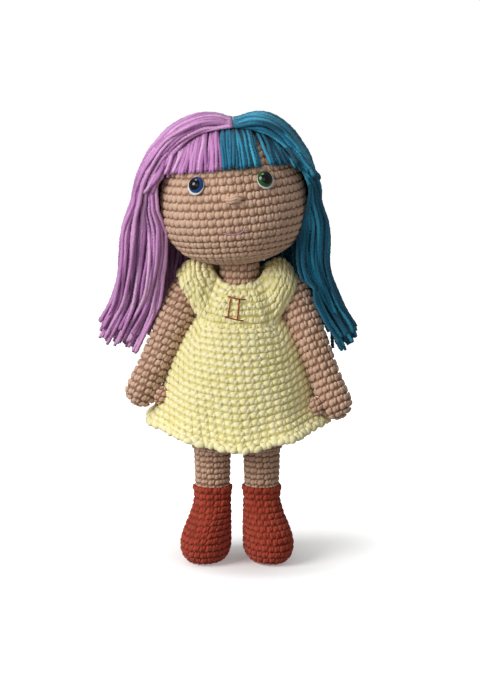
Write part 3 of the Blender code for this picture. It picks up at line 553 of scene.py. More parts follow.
def armPlaceFor(shape):
    rows = armOutline(shape["length"])
    lengths = [0.0]
    for first, second in zip(rows, rows[1:]):
        lengths.append(lengths[-1] + sqrt((second[0] - first[0]) ** 2 + (second[1] - first[1]) ** 2))
    shares = [length / lengths[-1] for length in lengths]
    turned = Euler((-radians(shape["forward"]), -shape["side"] * radians(shape["splay"]), 0)).to_matrix().to_4x4()
    spot = Matrix.Translation((neckX + shape["side"] * armSettings["spread"], 0, armSettings["pivotHeight"]))
    armFrame = dollFrame @ spot @ turned
    middle = shape["length"] / 2

    def place(u, v, inset=0.0):
        v = min(1, max(0, v))
        depth = easeRow(shares, [row[0] for row in rows], v)
        radius = easeRow(shares, [row[1] for row in rows], v)
        squeeze = max(0, (radius - inset) / radius) if radius > 0.01 else 0
        depth = middle + (depth - middle) * (1 - inset / middle)
        return armFrame @ Vector((radius * squeeze * sin(tau * u), -radius * squeeze * cos(tau * u), -depth))

    return place, armFrame


def addThumb(bm, shape, armFrame):
    radius, half, turn = thumbSettings["radius"], thumbSettings["half"], radians(thumbSettings["turn"])
    out = armSettings["hand"] + radius - thumbSettings["sink"]
    spot = armFrame @ Matrix.Translation(
        (-shape["side"] * out * cos(turn), -out * sin(turn), thumbSettings["rise"] - shape["length"])
    )

    def place(u, v, inset=0.0):
        angle = pi * v
        return spot @ Vector((
            (radius - inset) * sin(angle) * sin(tau * u), -(radius - inset) * sin(angle) * cos(tau * u),
            (half - inset) * cos(angle),
        ))

    thumb = bmesh.new()
    addGround(thumb, place, thumbSettings, 0)
    mesh = bpy.data.meshes.new("thumb_ground")
    thumb.to_mesh(mesh)
    thumb.free()
    bm.from_mesh(mesh)
    bpy.data.meshes.remove(mesh)
    addStitches(bm, place, thumbSettings)


for word, shape in armShapes.items():
    place, armFrame = armPlaceFor(shape)
    bm = bmesh.new()
    addGround(bm, place, armSettings, skinWall)
    addStitches(bm, place, armSettings)
    addThumb(bm, shape, armFrame)
    arm = newPiece("arm_" + word + "_crochet", bm, (skinYarn, skinGroundPaintedShade))
    standFor(arm, "arm_" + word, "arm_" + word, "beige_cotton")
print("arms crocheted")


# Legs and boots

legSettings = {
    "spread": 12.4,
    "top": 56.7,
    "low": 36.0,
    "wide": 8.8,
    "narrow": 8.1,
    "kind": "limb", "stitch": (3.6, 3.15), "depth": 1.15, "slide": 0.07, "loose": 0.12,
    "columns": 32, "inset": 0.5, "ridge": 0.55,
}
bootSettings = {
    "kind": "limb", "stitch": (3.8, 3.4), "depth": 1.25, "slide": 0.1, "loose": 0.12,
    "columns": 44, "inset": 0.5, "ridge": 0.6,
    "height": 38.0,
    "cuff": 9.3,
    "ankle": (33.0, 8.7),  # height, radius
    "cuffFold": (-1, 2),  # from the ankle, where the cuff stands off
    "ball": 9.5,
    "soleCut": 1.0,
    "roundness": 2.4,
    "halfWidth": 12.0,
    "front": 24.5,
    "back": 12.5,
    "offset": 2.4,
    "toeOut": 9.0,
    "soleShare": 0.76,  # where the side ends and the sole begins
    "soleHeight": 0.95,  # of the cloth, over which its stitches reach down to the floor
    "soleRim": 2,
}


def legPlaceFor(side):
    def place(u, v, inset=0.0):
        radius = legSettings["wide"] + (legSettings["narrow"] - legSettings["wide"]) * v - inset
        height = legSettings["top"] + (legSettings["low"] - legSettings["top"]) * v
        middle = side * legSettings["spread"]
        return dollFrame @ Vector((middle + radius * sin(tau * u), -radius * cos(tau * u), height))

    return place


def bootPlaceFor(side):
    ankleHeight, ankle = bootSettings["ankle"]
    foldLow, foldHigh = bootSettings["cuffFold"]
    soleShare, roundness = bootSettings["soleShare"], bootSettings["roundness"]

    def place(u, v, inset=0.0):
        turn = tau * u
        height = bootSettings["height"] * (1 - min(1, v / soleShare))
        closing = 1 - max(0, (v - soleShare) / (1 - soleShare))
        foot = 1 - easeStep(height, bootSettings["ball"], ankleHeight)
        low = max(0, bootSettings["ball"] - height) / (bootSettings["ball"] + bootSettings["soleCut"])
        rounding = (1 - low ** roundness) ** (1 / roundness)
        top = ankle + (bootSettings["cuff"] - ankle) * easeStep(height, ankleHeight + foldLow, ankleHeight + foldHigh)
        half = top + (bootSettings["halfWidth"] - ankle) * foot
        front = top + (bootSettings["front"] - ankle) * foot
        back = top + (bootSettings["back"] - ankle) * foot
        x = (half * rounding - inset) * closing * sin(turn) + side * bootSettings["offset"] * foot
        y = -((front + back) / 2 * rounding - inset) * closing * cos(turn) - (front - back) / 2
        spot = Matrix.Rotation(side * radians(bootSettings["toeOut"]) * foot, 3, "Z") @ Vector((x, y, height))
        atSole = closing < 1 or height < bootSettings["soleRim"]
        spot.z = max(spot.z, bootSettings["soleHeight"] + (inset if atSole else 0))
        return dollFrame @ (spot + Vector((side * legSettings["spread"], 0, 0)))

    return place


for word, side in (("right", -1), ("left", 1)):
    leg = coverPiece("leg_" + word + "_crochet", legPlaceFor(side), legSettings, (skinYarn, skinGroundPaintedShade))
    standFor(leg, "torso", "leg_" + word, "beige_cotton")
    boot = coverPiece("boot_" + word + "_crochet", bootPlaceFor(side), bootSettings, (bootYarn, bootGroundPaintedShade))
    standFor(boot, "torso", "boot_" + word, "rust_cotton")
print("legs and boots crocheted")


# Dress: yoke and cap sleeves in one sheet from the neckline, then the skirt

yokeSettings = {
    # turn from the front, then neckline, crest and edge, each x from the neck, y, z
    "profile": (
        (0, (0, -12.6, 141.6), (0, -17.2, 131.5), (0, -18.5, 119.8)),
        (25, (5.6, -11.6, 142.4), (8.8, -16.0, 131.8), (9.7, -16.5, 119.8)),
        (45, (9.8, -8.8, 144.8), (15.4, -12.6, 134.0), (16.6, -12.0, 120.2)),
        (60, (12.0, -5.8, 147.4), (19.4, -13.6, 141.0), (21.4, -7.6, 126.0)),
        (75, (13.0, -3.0, 149.0), (22.6, -10.6, 148.0), (28.2, -9.4, 138.0)),
        (90, (13.2, 0, 149.4), (22.6, 0, 152.6), (31.4, 0, 145.0)),
        (108, (12.6, 4.2, 149.0), (21.8, 10.0, 149.6), (28.6, 9.4, 139.6)),
        (130, (10.0, 8.6, 147.6), (17.8, 14.6, 141.0), (20.6, 9.0, 126.0)),
        (155, (5.4, 11.8, 146.6), (9.4, 16.8, 134.0), (10.8, 16.0, 119.8)),
        (180, (0, 12.8, 146.2), (0, 17.2, 134.0), (0, 18.5, 119.8)),
    ),
    "wing": (20.0, 31.4),  # from here to here a shoulder wing
    "leftWing": (0.82, 3.0),  # the left wing is narrower by this share and hangs this much lower
    "kind": "yoke", "stitch": (4.6, 3.5), "depth": 1.3, "slide": 0.46, "loose": 0.22,
    "columns": 96, "inset": 0.5, "ridge": 0.8, "wall": 1.2,
    "split": 17.5,  # how far out the yoke ends and a sleeve begins
    "slit": 0.8,
    "core": (133, 6, 20),  # height of the middle, its rise towards the shoulders and how far out that ends
    "bend": (18.0, 28.0),  # how far out a sleeve begins and ends; two points are computed from it, but nothing bends the sleeve
}
skirtSettings = {
    "top": 121.0,
    "waist": (21.1, 18.0),
    "bell": (39.2, 33.2),
    "swell": 0.6,  # under 1 it fills out early
    "flare": 5.0,
    "flareFrom": 0.82,
    "hem": (64.5, 75.0),  # height in front and at the sides
    "folds": 10,
    "foldDepth": 0.9,
    "armpit": (5.0, 1.8),  # how much the top rises under the arms, and draws in there
    "armpitTurns": (0.72, 0.97),  # share of the way to the side
    "fuller": (1.9, 1.6),  # how much it bulges out to the right arm and to the left arm
    "kind": "skirt", "stitch": (4.15, 3.25), "depth": 1.25, "slide": 0.12, "loose": 0.1,
    "columns": 112, "inset": 0.55, "ridge": 0.95, "wall": 0.9,
}
picotSettings = {
    "count": 48,
    "wide": (0.8, 1.3),  # share of a picot's part of the hem
    "high": (3.8, 5.2),
    "deep": 2.4,
    "hang": (0.1, 1.1),
    "turn": 0.3,
    "above": 0.94,  # towards this share of the skirt a picot stands up
}
yokeTurns = [row[0] for row in yokeSettings["profile"]]


def yokePlace(u, v, inset=0.0):
    degrees = 360 * (u - floor(u))
    side = 1 if degrees <= 180 else -1
    turn = degrees if degrees <= 180 else 360 - degrees
    control = []
    for part in (1, 2, 3):
        rows = [row[part] for row in yokeSettings["profile"]]
        control.append(Vector([easeRow(yokeTurns, [row[axis] for row in rows], turn) for axis in range(3)]))
    start, crest, edge = control
    crest = crest * 2 - (start + edge) / 2  # the curve passes through the crest half way down
    spot = start * (1 - v) ** 2 + crest * 2 * v * (1 - v) + edge * v ** 2
    root, tip = yokeSettings["wing"]
    if side > 0 and spot.x > root:
        narrow, droop = yokeSettings["leftWing"]
        spot.z -= droop * (spot.x - root) / (tip - root)
        spot.x = root + (spot.x - root) * narrow
    if inset:
        height, rise, reach = yokeSettings["core"]
        middle = Vector((0, 0, height + rise * min(1, abs(spot.x) / reach)))
        spot += (middle - spot).normalized() * inset
    return dollFrame @ Vector((neckX + side * spot.x, spot.y, spot.z))


def dressCloth(name, place, settings, keep=None):
    # a sheet with its rows as ridges, and the stitches that cover it
    bm = bmesh.new()
    addGround(bm, place, settings, 0)
    if keep:
        lost = [face for face in bm.faces if not keep(face.calc_center_median())]
        bmesh.ops.delete(bm, geom=lost, context="FACES")
    for face in bm.faces:
        face.material_index = 0
    bmesh.ops.solidify(bm, geom=bm.faces[:], thickness=settings["wall"] * mm)
    # the cloth is in the darker yellow, painted shade between the stitches
    cloth = newPiece(name + "_cloth", bm, (dressGroundPaintedShade,))
    print(name, "cloth area", round(sheetArea(cloth), 6))
    bm = bmesh.new()
    addStitches(bm, place, settings, keep)
    return cloth, newPiece(name + "_stitches", bm, (dressYarn,))


def sheetArea(piece):
    return sum(face.area for face in piece.data.polygons) / 2


def yokeSide(side):
    split = yokeSettings["split"] * mm

    def keep(spot):
        across = spot.x - dollMove.x - neckX * mm
        if side == 0:
            behind = spot.y > dollMove.y and abs(across) < yokeSettings["slit"] * mm
            return abs(across) <= split and not behind
        return across * side > split

    return keep


def skirtPlace(u, v, inset=0.0):
    turn = tau * u
    front, sides = skirtSettings["hem"]
    hem = front + (sides - front) * abs(sin(turn)) ** 1.5
    rise, draw = skirtSettings["armpit"]
    armpit = easeStep(abs(sin(turn)), *skirtSettings["armpitTurns"])
    top = skirtSettings["top"] + rise * armpit
    height = top + (hem - top) * v
    swell, flareFrom = v ** skirtSettings["swell"], skirtSettings["flareFrom"]
    grow = skirtSettings["flare"] * max(0, (v - flareFrom) / (1 - flareFrom)) ** 1.6
    grow += skirtSettings["foldDepth"] * v ** 4 * cos(skirtSettings["folds"] * turn) - inset
    grow -= draw * armpit * (1 - v) ** 3
    bulge = 6.75 * v ** 2 * (1 - v)  # 1 at two thirds of the way down
    grow += skirtSettings["fuller"][sin(turn) > 0] * sin(turn) ** 2 * bulge
    wide, deep = [
        waist + (bell - waist) * swell + grow for waist, bell in zip(skirtSettings["waist"], skirtSettings["bell"])
    ]
    return dollFrame @ Vector((trunkLean(height) + wide * sin(turn), -deep * cos(turn), height))


for name, side, riding in (("yoke", 0, "torso"), ("sleeve_right", -1, "arm_right"), ("sleeve_left", 1, "arm_left")):
    dice.seed(5)
    cloth, stitches = dressCloth(name, yokePlace, yokeSettings, yokeSide(side))
    for piece in (cloth, stitches):
        if side == 0:
            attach(piece, "torso")
        else:
            start, end = [
                dollFrame @ Vector((neckX + side * out, 0, armSettings["pivotHeight"])) for out in yokeSettings["bend"]
            ]
            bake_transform(piece)
            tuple(start)
            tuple(end)
    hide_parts("dress_yoke" if side == 0 else name)

skirt, skirtStitches = dressCloth("skirt", skirtPlace, skirtSettings)
bm = bmesh.new()
count = picotSettings["count"]
for k in range(count):
    u = (k + 0.5) / count
    along = (skirtPlace(u + 0.5 / count, 1) - skirtPlace(u - 0.5 / count, 1)) * dice.uniform(*picotSettings["wide"])
    up = (skirtPlace(u, picotSettings["above"]) - skirtPlace(u, 1)).normalized()
    normal = along.cross(up).normalized() * picotSettings["deep"] * mm
    spot = Matrix((along, up * dice.uniform(*picotSettings["high"]) * mm, normal)).transposed().to_4x4()
    spot.translation = skirtPlace(u, 1) - up * dice.uniform(*picotSettings["hang"]) * mm
    turn = Matrix.Rotation(dice.uniform(-picotSettings["turn"], picotSettings["turn"]), 4, "Z")
    putCopy(bm, stitchKinds["picot"], spot @ turn)
picots = newPiece("hem_picots", bm, (dressYarn,))
for piece in (skirt, skirtStitches, picots):
    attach(piece, "torso")
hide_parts("dress_skirt")
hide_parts("hem_edging")
print("dress crocheted")


# Hair

hairSettings = {
    "strand": 1.05,  # radius
    "pitch": 12.0,  # length in which the plies turn once
    "ring": 1.7,
    "end": 0.82,  # width of a strand at its ends
    "scalp": (36, 36.6),  # radius of the head, and of where the lowest strands lie
    "parting": (0.12, 0.2),  # half its width, and degrees from the top to where strands begin
    "rows": (11, 6),  # down to the tips, and to the head's widest level
    "crown": (1.5, 24.0, 50.0, 90.0),
    "backReaches": (43.6, 44.2, 44.0, 44.0, 46.0),
    "hangShares": (0, 0.18, 0.42, 0.7, 1),
    "sides": (-20.0, 40.0),  # degrees from straight out to the side, forwards to backwards
    "backs": (40.0, 91.0),
    "turnsBack": (20, 90),  # from here to here a side's outline becomes the back's
    "thickRows": (0, 5, 6, 7, 8, 9.4, 11),
    # share of the thickness, front edge beside the face and at the tips, strands, share of the width,
    # and 1 where inner strands hang longer
    "sideLayers": (
        (0.0, -8.0, 3.0, 31, 1.0, 1), (0.1, -9.0, 2.5, 7, 0.24, 1), (0.2, -10.0, 2.0, 30, 1.0, 1),
        (0.3, -11.0, 1.5, 7, 0.24, 1), (0.4, -12.0, 1.0, 28, 1.0, 1), (0.5, -13.5, 0.5, 7, 0.26, 1),
        (0.6, -15.0, 0.0, 8, 0.3, 1), (0.7, -16.5, -1.0, 8, 0.3, 1), (0.8, -18.0, -1.5, 8, 0.3, 1),
        (0.9, -19.0, -2.0, 8, 0.3, 1), (1.0, -20.0, -3.0, 9, 0.36, 1),
    ),
    "backLayers": (
        (0.0, 40.0, 40.0, 27, 1.0, 0), (0.2, 36.0, 36.0, 26, 1.0, 0), (0.45, 32.0, 32.0, 25, 1.0, 0),
        (0.75, 26.0, 26.0, 24, 1.0, 0),
    ),
    "longer": (-7.5, 2.5),
    "splay": (1.3, 3.5),  # how far, and how many degrees, the tips spread
    "sway": (5.5, 2.4),  # degrees that locks and single strands wander
    "stray": (0.7, 0.6),
    "overFringe": 3.1,
    "shoulder": 49,  # below this drop the hair leans out over the arm
}
fringeSettings = {
    "top": 74.0,
    "bottom": 30.0,
    "seat": 36.8,
    "steps": 24,
    "outer": (58, 70),  # from here to here its ends hang lower and looser
    "tufts": (60, 2.2, 9),  # first angle, spacing, count
    "tuftLift": 2.7,
}
hairSides = {
    "right": {
        "side": -1, "hang": 71.3, "lifts": (6.0, 10.8, 12.6, 14.2), "reaches": (50.2, 54.5, 56.3, 59.0, 68.0),
        "thick": (9, 9, 10, 19, 20, 20, 19.5), "armEdge": 35.8,
        "yarn": lilacYarn, "slot": "lilac_cotton", "fringe": (-80.0, -7.0), "fringeStrands": 29, "gap": (0, 0),
    },
    "left": {
        "side": 1, "hang": 73.0, "lifts": (6.0, 10.8, 9.0, 7.6), "reaches": (43.6, 47.3, 47.8, 52.5, 63.0),
        "thick": (9, 9, 9.5, 12, 13.5, 12, 10), "armEdge": 42.0,
        "yarn": tealYarn, "slot": "teal_cotton", "fringe": (-6.2, 80.0), "fringeStrands": 35, "gap": (29.0, 36.0),
    },
}
headMiddle = Vector(headSettings["middle"])


def curvePiece(name, lines, material, bevel, resolution=0):
    # tubes along lines of place, tilt and width, with a section of their own or a round one
    curve = bpy.data.curves.new(name, "CURVE")
    curve.dimensions = "3D"
    curve.use_fill_caps = True
    if resolution:
        curve.bevel_depth = bevel * mm
        curve.bevel_resolution = resolution
    else:
        curve.bevel_mode = "OBJECT"
        curve.bevel_object = bevel
    for line in lines:
        spline = curve.splines.new("POLY")
        spline.points.add(len(line) - 1)
        for corner, (place, tilt, width) in zip(spline.points, line):
            corner.co = (*place, 1)
            corner.tilt, corner.radius = tilt, width
    guide = addObject(name, curve)
    bpy.context.view_layer.update()
    mesh = bpy.data.meshes.new_from_object(guide.evaluated_get(bpy.context.evaluated_depsgraph_get()))
    bpy.data.objects.remove(guide, do_unlink=True)
    bm = bmesh.new()
    bm.from_mesh(mesh)
    bpy.data.meshes.remove(mesh)
    bmesh.ops.remove_doubles(bm, verts=bm.verts, dist=0.001 * mm)
    bmesh.ops.recalc_face_normals(bm, faces=bm.faces)
    return newPiece(name, bm, (material,))


def strandPiece(name, strands, material):
    # yarn of three plies: a three-lobed section that turns along each strand
    ring = bpy.data.curves.new(name + "_section", "CURVE")
    ring.dimensions = "2D"
    spline = ring.splines.new("POLY")
    spline.points.add(5)
    for k in range(6):
        reach = hairSettings["strand"] * (0.9 if k % 2 else 1.0)
        spline.points[k].co = (reach * cos(tau * k / 6) * mm, reach * sin(tau * k / 6) * mm, 0, 1)
    spline.use_cyclic_u = True
    section = addObject(name + "_section", ring)
    lines = []
    for points in strands:
        lengths = runningLengths(points)
        count = max(4, round(lengths[-1] / hairSettings["ring"]))
        phase, index, line = dice.uniform(0, tau), 0, []
        for k in range(count + 1):
            target = lengths[-1] * k / count
            while index < len(lengths) - 2 and lengths[index + 1] < target:
                index += 1
            share = (target - lengths[index]) / (lengths[index + 1] - lengths[index])
            spot = dollFrame @ points[index].lerp(points[index + 1], share)
            width = hairSettings["end"] if k in (0, count) else 1.0
            line.append((spot, phase + tau * target / hairSettings["pitch"], width))
        lines.append(line)
    piece = curvePiece(name, lines, material, section)
    bpy.data.objects.remove(section, do_unlink=True)
    return piece


def wander(size, *place):
    return size * 1.6 * noise.noise(Vector(place))


def curtainStrand(shape, first, last, u, layer, number):
    # from the parting over the head to its widest level, then straight down
    level, beside, tips, _, width, inner = layer
    side, strand, crown = shape["side"], hairSettings["strand"], hairSettings["crown"]
    locks, single = hairSettings["sway"]
    bulge, rough = hairSettings["stray"]
    scalp, seatRadius = hairSettings["scalp"]
    gap, begin = hairSettings["parting"]
    rows, widest = hairSettings["rows"]
    longer = dice.uniform(*hairSettings["longer"]) + 6 * (level - 0.4) * inner
    splay = dice.uniform(-1, 1)
    spread, fan = hairSettings["splay"]
    steps, points = 44, []
    for k in range(steps + 1):
        row = rows * k / steps
        depth = level * easeRow(hairSettings["thickRows"], shape["thick"], row)
        front = first + (beside - first) * easeStep(row, 4, 7) + (tips - beside) * easeStep(row, 7.5, rows)
        slant = front + (last - front) * u * width
        slant += (0.7 + 0.3 * easeStep(row, 2, rows)) * (
            wander(locks, 3.2 * u + side * 9, 0.3 * row, level * 12)
            + wander(single, number * 7.3, 0.5 * row, level * 12)
        )
        turn = radians(slant)
        backward = easeStep(abs(slant), *hairSettings["turnsBack"])
        lift = wander(bulge, 4 * u + side * 5, 0.35 * row, level + 30)
        lift += wander(rough, number * 5.1, 0.9 * row, level + 60)
        overFringe = hairSettings["overFringe"] * (1 - easeStep(slant, 2, 14)) * (1 - easeStep(row, 5, 7))
        if row <= widest:
            angle = begin + (crown[-1] - begin) * row / widest
            rise = easeRow(crown, shape["lifts"], angle)
            rise += (hairSettings["backReaches"][0] - scalp - rise) * backward * (angle / 90)
            rise -= 1.0 * (1 - easeStep(row, 0, 0.7))
            reach = max(scalp + rise - strand - depth + lift, seatRadius + strand + overFringe)
            beta = radians(angle)
            spot = Vector((
                side * (gap + reach * sin(beta) * cos(turn)), reach * sin(turn), reach * cos(beta) * cos(turn),
            ))
        else:
            share = (row - widest) / (rows - widest)
            drop = (shape["hang"] + longer) * share
            sideReach, backReach = [
                easeRow(hairSettings["hangShares"], reaches, share)
                for reaches in (shape["reaches"], hairSettings["backReaches"])
            ]
            reach = sideReach + (backReach - sideReach) * backward
            seat = sqrt(max(0, seatRadius ** 2 - drop ** 2)) + strand + overFringe
            outsideArm = shape["armEdge"] + 0.5 * max(0, drop - hairSettings["shoulder"])
            seat = max(seat, outsideArm * (1 - easeStep(slant, 14, 26)) * easeStep(drop, 34, 42))
            reach = max(reach - strand - depth + lift, seat) + spread * splay * share ** 3
            turn += radians(fan) * splay * share ** 2
            spot = Vector((side * (gap + reach * cos(turn)), reach * sin(turn), -drop))
        points.append(headMiddle + spot)
    return points


def fringeStrand(azimuth, over=0.0):
    # from under the front locks nearly straight down, with loose tufts at the ends
    outer, steps = easeStep(abs(azimuth), *fringeSettings["outer"]), fringeSettings["steps"]
    end = radians(fringeSettings["bottom"] - 5.0 * (azimuth / 75) ** 2 - 13.0 * outer + dice.uniform(-1.5, 0.9))
    top = radians(fringeSettings["top"] - 30 * abs(azimuth / 75) ** 1.5)
    phase, lift = dice.uniform(0, 90), dice.uniform(0.0, 0.7) + over
    points = []
    for k in range(steps + 1):
        share = k / steps
        elevation = top + (end - top) * share
        across = sin(radians(azimuth)) * cos(end) * (0.72 + 0.28 * share ** 0.8) + wander(0.02, phase, 1.5 * share, 0)
        forward = sqrt(max(0.02, cos(elevation) ** 2 - across ** 2))
        reach = fringeSettings["seat"] + hairSettings["strand"] + lift + (0.6 + 4.2 * outer) * share ** 2
        reach += wander(0.6, phase, 2 * share, 9)
        local = Vector((across, -forward, sin(elevation))) * reach
        points.append(dollFrame.inverted() @ (headFrame @ local))
    return points


for word, shape in hairSides.items():
    parts = {
        "hair_side_" + word: (*hairSettings["sides"], hairSettings["sideLayers"]),
        "hair_back_" + word: (*hairSettings["backs"], hairSettings["backLayers"]),
    }
    for node, (first, last, layers) in parts.items():
        strands = []
        for layer in layers:
            for k in range(layer[3]):
                u = (k + 0.5 + dice.uniform(-0.3, 0.3)) / layer[3]
                strands.append(curtainStrand(shape, first, last, u, layer, len(strands)))
        standFor(strandPiece(node + "_strands", strands, shape["yarn"]), "head", node, shape["slot"])
    start, end = shape["fringe"]
    count = shape["fringeStrands"]
    azimuths = [start + (end - start) * (k + 0.5) / count for k in range(count)]
    gapStart, gapEnd = shape["gap"]
    strands = [fringeStrand(azimuth) for azimuth in azimuths if not gapStart < azimuth < gapEnd]
    tuft, spacing, tufts = fringeSettings["tufts"]
    for k in range(tufts):
        azimuth = shape["side"] * (tuft + spacing * k + dice.uniform(-1, 1))
        strands.append(fringeStrand(azimuth, fringeSettings["tuftLift"]))
    fringe = strandPiece("fringe_" + word + "_strands", strands, shape["yarn"])
    standFor(fringe, "head", "hair_fringe_" + word, shape["slot"])
print("hair laid")


# Face: domed eyes on felt, a nose of yarn and a mouth of thread

eyeSettings = {
    "azimuth": 28.5,
    "elevation": 20.0,
    "radius": 4.0,
    "height": 3.0,
    "pupil": 3.15,
    "base": 37.3,  # from the middle of the head
    "stem": (1.5, 29.4),  # radius, inner end
    "felt": ((1.8, -0.15), (4.3, -0.25), (4.5, -0.5), (4.3, -0.95), (1.8, -0.95), (1.8, -0.15)),  # radius, rise
    "feltMove": (0.3, -0.45),  # outwards, down
}


def faceFrame(azimuth, elevation):
    # an upright frame on the head whose z points straight out
    return headFrame @ Euler((radians(90 - elevation), 0, radians(azimuth))).to_matrix().to_4x4()


def spinProfile(profile, steps):
    bm = bmesh.new()
    corners = [bm.verts.new((radius, 0, height)) for radius, height in profile]
    edges = [bm.edges.new(pair) for pair in zip(corners, corners[1:])]
    bmesh.ops.spin(
        bm, geom=corners + edges, cent=(0, 0, 0), axis=(0, 0, 1), dvec=(0, 0, 0), angle=tau, steps=steps, use_merge=True
    )
    bmesh.ops.remove_doubles(bm, verts=bm.verts, dist=0.0005)
    bmesh.ops.recalc_face_normals(bm, faces=bm.faces)
    return bm


for word, side, iris in (("right", -1, irisBlue), ("left", 1, irisGreen)):
    spot = faceFrame(side * eyeSettings["azimuth"], eyeSettings["elevation"])
    radius, high, base, pupil = [eyeSettings[key] for key in ("radius", "height", "base", "pupil")]
    bulge = (radius ** 2 + high ** 2) / (2 * high)
    widest = asin(radius / bulge)
    marks = [0, 0.15, 0.3, 0.45, 0.62, pupil / radius, 0.85, 0.92, 0.97, 1]
    dome = [(bulge * sin(widest * m), base + high - bulge + bulge * cos(widest * m)) for m in marks]
    stemRadius, stemEnd = eyeSettings["stem"]
    bm = spinProfile(dome + [(radius, base - 0.2), (stemRadius, base - 0.2), (stemRadius, stemEnd), (0, stemEnd)], 40)
    for face in bm.faces:
        middle = face.calc_center_median()
        far = sqrt(middle.x ** 2 + middle.y ** 2)
        face.material_index = 0 if far < pupil * 0.98 and middle.z > base else 1
    bmesh.ops.transform(bm, matrix=spot, verts=bm.verts)
    eye = newPiece("eye_" + word + "_dome", bm, (pupilBlack, iris))
    standFor(eye, "head", "eye_" + word, "blue_eye_plastic" if side < 0 else "green_eye_plastic")
    bm = spinProfile([(out, base + rise) for out, rise in eyeSettings["felt"]], 36)
    outwards, down = eyeSettings["feltMove"]
    bmesh.ops.translate(bm, vec=(side * outwards, down, 0), verts=bm.verts)
    bmesh.ops.transform(bm, matrix=spot, verts=bm.verts)
    felt = newPiece("eye_" + word + "_felt_disc", bm, (feltCut,))
    standFor(felt, "head", "eye_felt_" + word, "white_felt")


def threadPiece(name, lines, radius, material):
    # thin round thread, a little thinner where it goes into the fabric
    shaped = []
    for line in lines:
        ends = (0, len(line) - 1)
        shaped.append([(place, 0, 0.7 if k in ends else 1.0) for k, place in enumerate(line)])
    return curvePiece(name, shaped, material, radius, 2)


noseSettings = {"place": (1.0, 7.5), "half": 4.0, "base": 37.35, "swell": 0.9, "steps": 12, "radius": 0.8}
noseFrame = faceFrame(*noseSettings["place"])
noseLines = []
for drop in (1, 0, -1):
    half, steps = noseSettings["half"] - 0.5 * abs(drop), noseSettings["steps"]
    line = []
    for k in range(steps + 1):
        across = half * (2 * k / steps - 1)
        rise = noseSettings["base"] + noseSettings["swell"] * cos(pi / 2 * across / half) - 0.25 * abs(drop)
        line.append(noseFrame @ Vector((across, drop + 0.25 * sin(across), rise - across ** 2 / 74)))
    noseLines.append(line)
nose = threadPiece("nose_yarn", noseLines, noseSettings["radius"], skinYarn)
mouthSettings = {
    "corners": ((-9.5, -17.6), (-6.0, -18.8), (-1.5, -19.4), (3.0, -19.2), (6.5, -17.6), (9.0, -13.6)),  # degrees
    "lift": 1.15,
    "radius": 0.4,
}
mouthLine = [onHead(azimuth, elevation, mouthSettings["lift"]) for azimuth, elevation in mouthSettings["corners"]]
mouth = threadPiece("mouth_thread", [mouthLine], mouthSettings["radius"], lipThread)
standFor(nose, "head", "nose", "beige_cotton")
standFor(mouth, "head", "mouth", "pink_thread")
print("face made")


# Emblem on the yoke

emblemSettings = {
    "strokes": (
        ((-5.9, 136.3), (3.1, 135.0)), ((-7.7, 126.5), (2.2, 124.7)),
        ((-4.3, 135.4), (-5.7, 126.2)), ((0.1, 135.2), (-1.1, 124.9)),
    ),
    "radius": 0.35,
    "sink": 0.2,
    "steps": 14,
}
yokeSurface = BVHTree.FromObject(bpy.data.objects["yoke_stitches"], bpy.context.evaluated_depsgraph_get())


def onYoke(x, z):
    # on the highest yarn within the thread's width
    heights = []
    for step in (-0.4, 0, 0.4):
        hit = yokeSurface.ray_cast(dollFrame @ Vector((neckX + x + step, -60, z)), Vector((0, 1, 0)))[0]
        if hit:
            heights.append(hit.y)
    spot = dollFrame @ Vector((neckX + x, -18, z))
    spot.y = min(heights, default=spot.y) - emblemSettings["sink"] * mm
    return spot


emblemLines = []
steps = emblemSettings["steps"]
for (x1, z1), (x2, z2) in emblemSettings["strokes"]:
    line = [onYoke(x1 + (x2 - x1) * k / steps, z1 + (z2 - z1) * k / steps) for k in range(steps + 1)]
    for _ in range(3):  # the thread is pulled straight over the dips between stitches
        for k in range(1, steps):
            line[k].y = min(line[k].y, (line[k - 1].y + line[k + 1].y) / 2)
    emblemLines.append(line)
emblem = threadPiece("emblem_stitching", emblemLines, emblemSettings["radius"], emblemThread)
standFor(emblem, "torso", "emblem", "rust_thread")
print("emblem stitched")


# Filling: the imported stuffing's own forms, swollen into lumps of loose fibre

fillSettings = {"filled": 0.8, "lump": 7, "shrink": 0.45, "swell": 0.4, "chinRise": 1.2}


def loosenFill(node):
    source = bpy.data.objects[node]
    bm = bmesh.new()
    bm.from_mesh(source.data)
    bmesh.ops.transform(bm, matrix=source.matrix_world, verts=bm.verts)
    bmesh.ops.remove_doubles(bm, verts=bm.verts, dist=0.01 * mm)
    bm.normal_update()
    for vertex in bm.verts:
        if node == "head_stuffing":
            local = headFrame.inverted() @ vertex.co
            local.z = flattenChin(local.z) + fillSettings["chinRise"] * easeStep(-local.z, 20, 30)
            vertex.co = headFrame @ local
        lump = noise.noise(vertex.co / (fillSettings["lump"] * mm))
        vertex.co -= vertex.normal * (fillSettings["shrink"] + fillSettings["swell"] * lump) * mm
    return newPiece(node + "_loose", bm, (fillFibre,))


for node, riding in (
    ("head_stuffing", "head"), ("body_stuffing", "torso"), ("arm_stuffing_right", "arm_right"),
    ("arm_stuffing_left", "arm_left"), ("leg_stuffing_right", "torso"), ("leg_stuffing_left", "torso"),
):
    standFor(loosenFill(node), riding, node, "polyester_fibre")
print("filling loosened")


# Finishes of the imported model's own solids

for node, material in (
    ("neck_stick", beech), ("shoulder_thread", whiteThread), ("eye_washer_right", washerPlastic),
    ("eye_washer_left", washerPlastic), ("insole_right", insoleSheet), ("insole_left", insoleSheet),
    ("back_button", buttonPlastic), ("button_loop", dressYarn),
):
    mesh = bpy.data.objects[node].data
    mesh.materials.clear()
    mesh.materials.append(material)
print("packed solids refinished")


# Floor, lights and backdrop

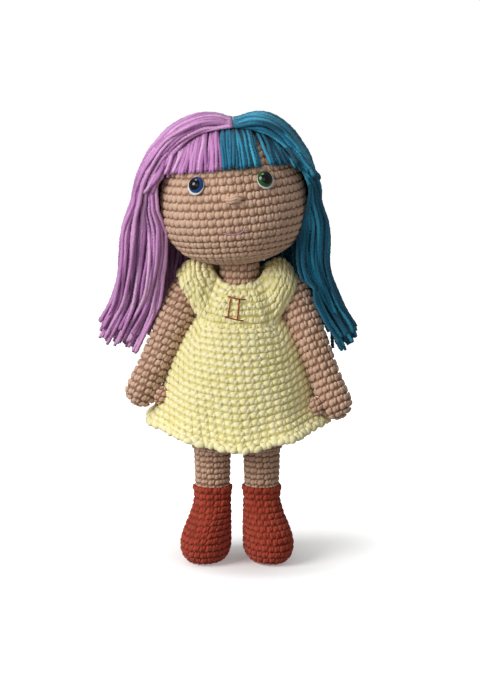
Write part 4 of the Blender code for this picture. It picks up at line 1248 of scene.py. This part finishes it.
paperSettings = {
    "halfSize": 14,  # metres
    "paintedShadow": {"Location": (-0.12, 0.1, 0.0), "Scale": (10.0, 8.5, 12.0)},  # a painted shadow round the feet, where the floor's glow is weaker
    "light": 0.8,
    "shade": -0.66,
}
floorMaterial, floorTree, floorShader, floorCoords = startMaterial("white_paper_sweep", {"Roughness": 0.9})
floorShader.inputs["Base Color"].default_value = linear("#fbfbfb")
floorShader.inputs["Emission Color"].default_value = (1, 1, 1, 1)
# painted shadow: the floor's glow drops towards the feet
paintedShadow = addNode(floorTree, "Mapping", None, paperSettings["paintedShadow"], {"Vector": floorCoords.outputs["Object"]})
near = addNode(floorTree, "TexGradient", {"gradient_type": "SPHERICAL"}, None, {"Vector": paintedShadow.outputs["Vector"]})
glowWithPaintedShadow = addNode(
    floorTree, "Math", {"operation": "MULTIPLY_ADD"}, {1: paperSettings["shade"], 2: paperSettings["light"]},
    {0: near.outputs["Fac"]},
)
floorTree.links.new(glowWithPaintedShadow.outputs[0], floorShader.inputs["Emission Strength"])  # the floor glows though it is no lamp, evenly far off and weaker round the feet, a painted shadow
bm = bmesh.new()
bmesh.ops.create_grid(bm, x_segments=1, y_segments=1, size=paperSettings["halfSize"])
studioFloor = newPiece("studio_floor", bm, (floorMaterial,))
studioFloor.visible_diffuse = False
studioFloor.visible_glossy = False
studioFloor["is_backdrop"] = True

lightSettings = {
    "aim": (0, 0, 0.12),
    "around": 0.25,  # strength of the even light from all sides
    "lamps": (  # name, place, size, power
        ("key", (-1.05, -0.8, 0.75), 0.9, 16.8),
        ("fill", (-0.2, -1.6, 0.5), 1.2, 2.7),
        ("top", (-0.25, 0.0, 1.3), 0.5, 3.6),
    ),
}
for name, place, size, power in lightSettings["lamps"]:
    data = bpy.data.lights.new(name, "AREA")
    data.shape = "DISK"
    data.size = size
    data.energy = power
    lamp = addObject(name, data)
    lamp.location = place
    lamp.rotation_euler = (Vector(lightSettings["aim"]) - lamp.location).to_track_quat("-Z", "Y").to_euler()
world = bpy.data.worlds.new("studio")
bpy.context.scene.world = world
world.use_nodes = True
world.node_tree.nodes["Background"].inputs["Color"].default_value = (1, 1, 1, 1)
world.node_tree.nodes["Background"].inputs["Strength"].default_value = lightSettings["around"]
bpy.context.scene.view_settings.view_transform = "Standard"
print("studio lit")

low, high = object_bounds()
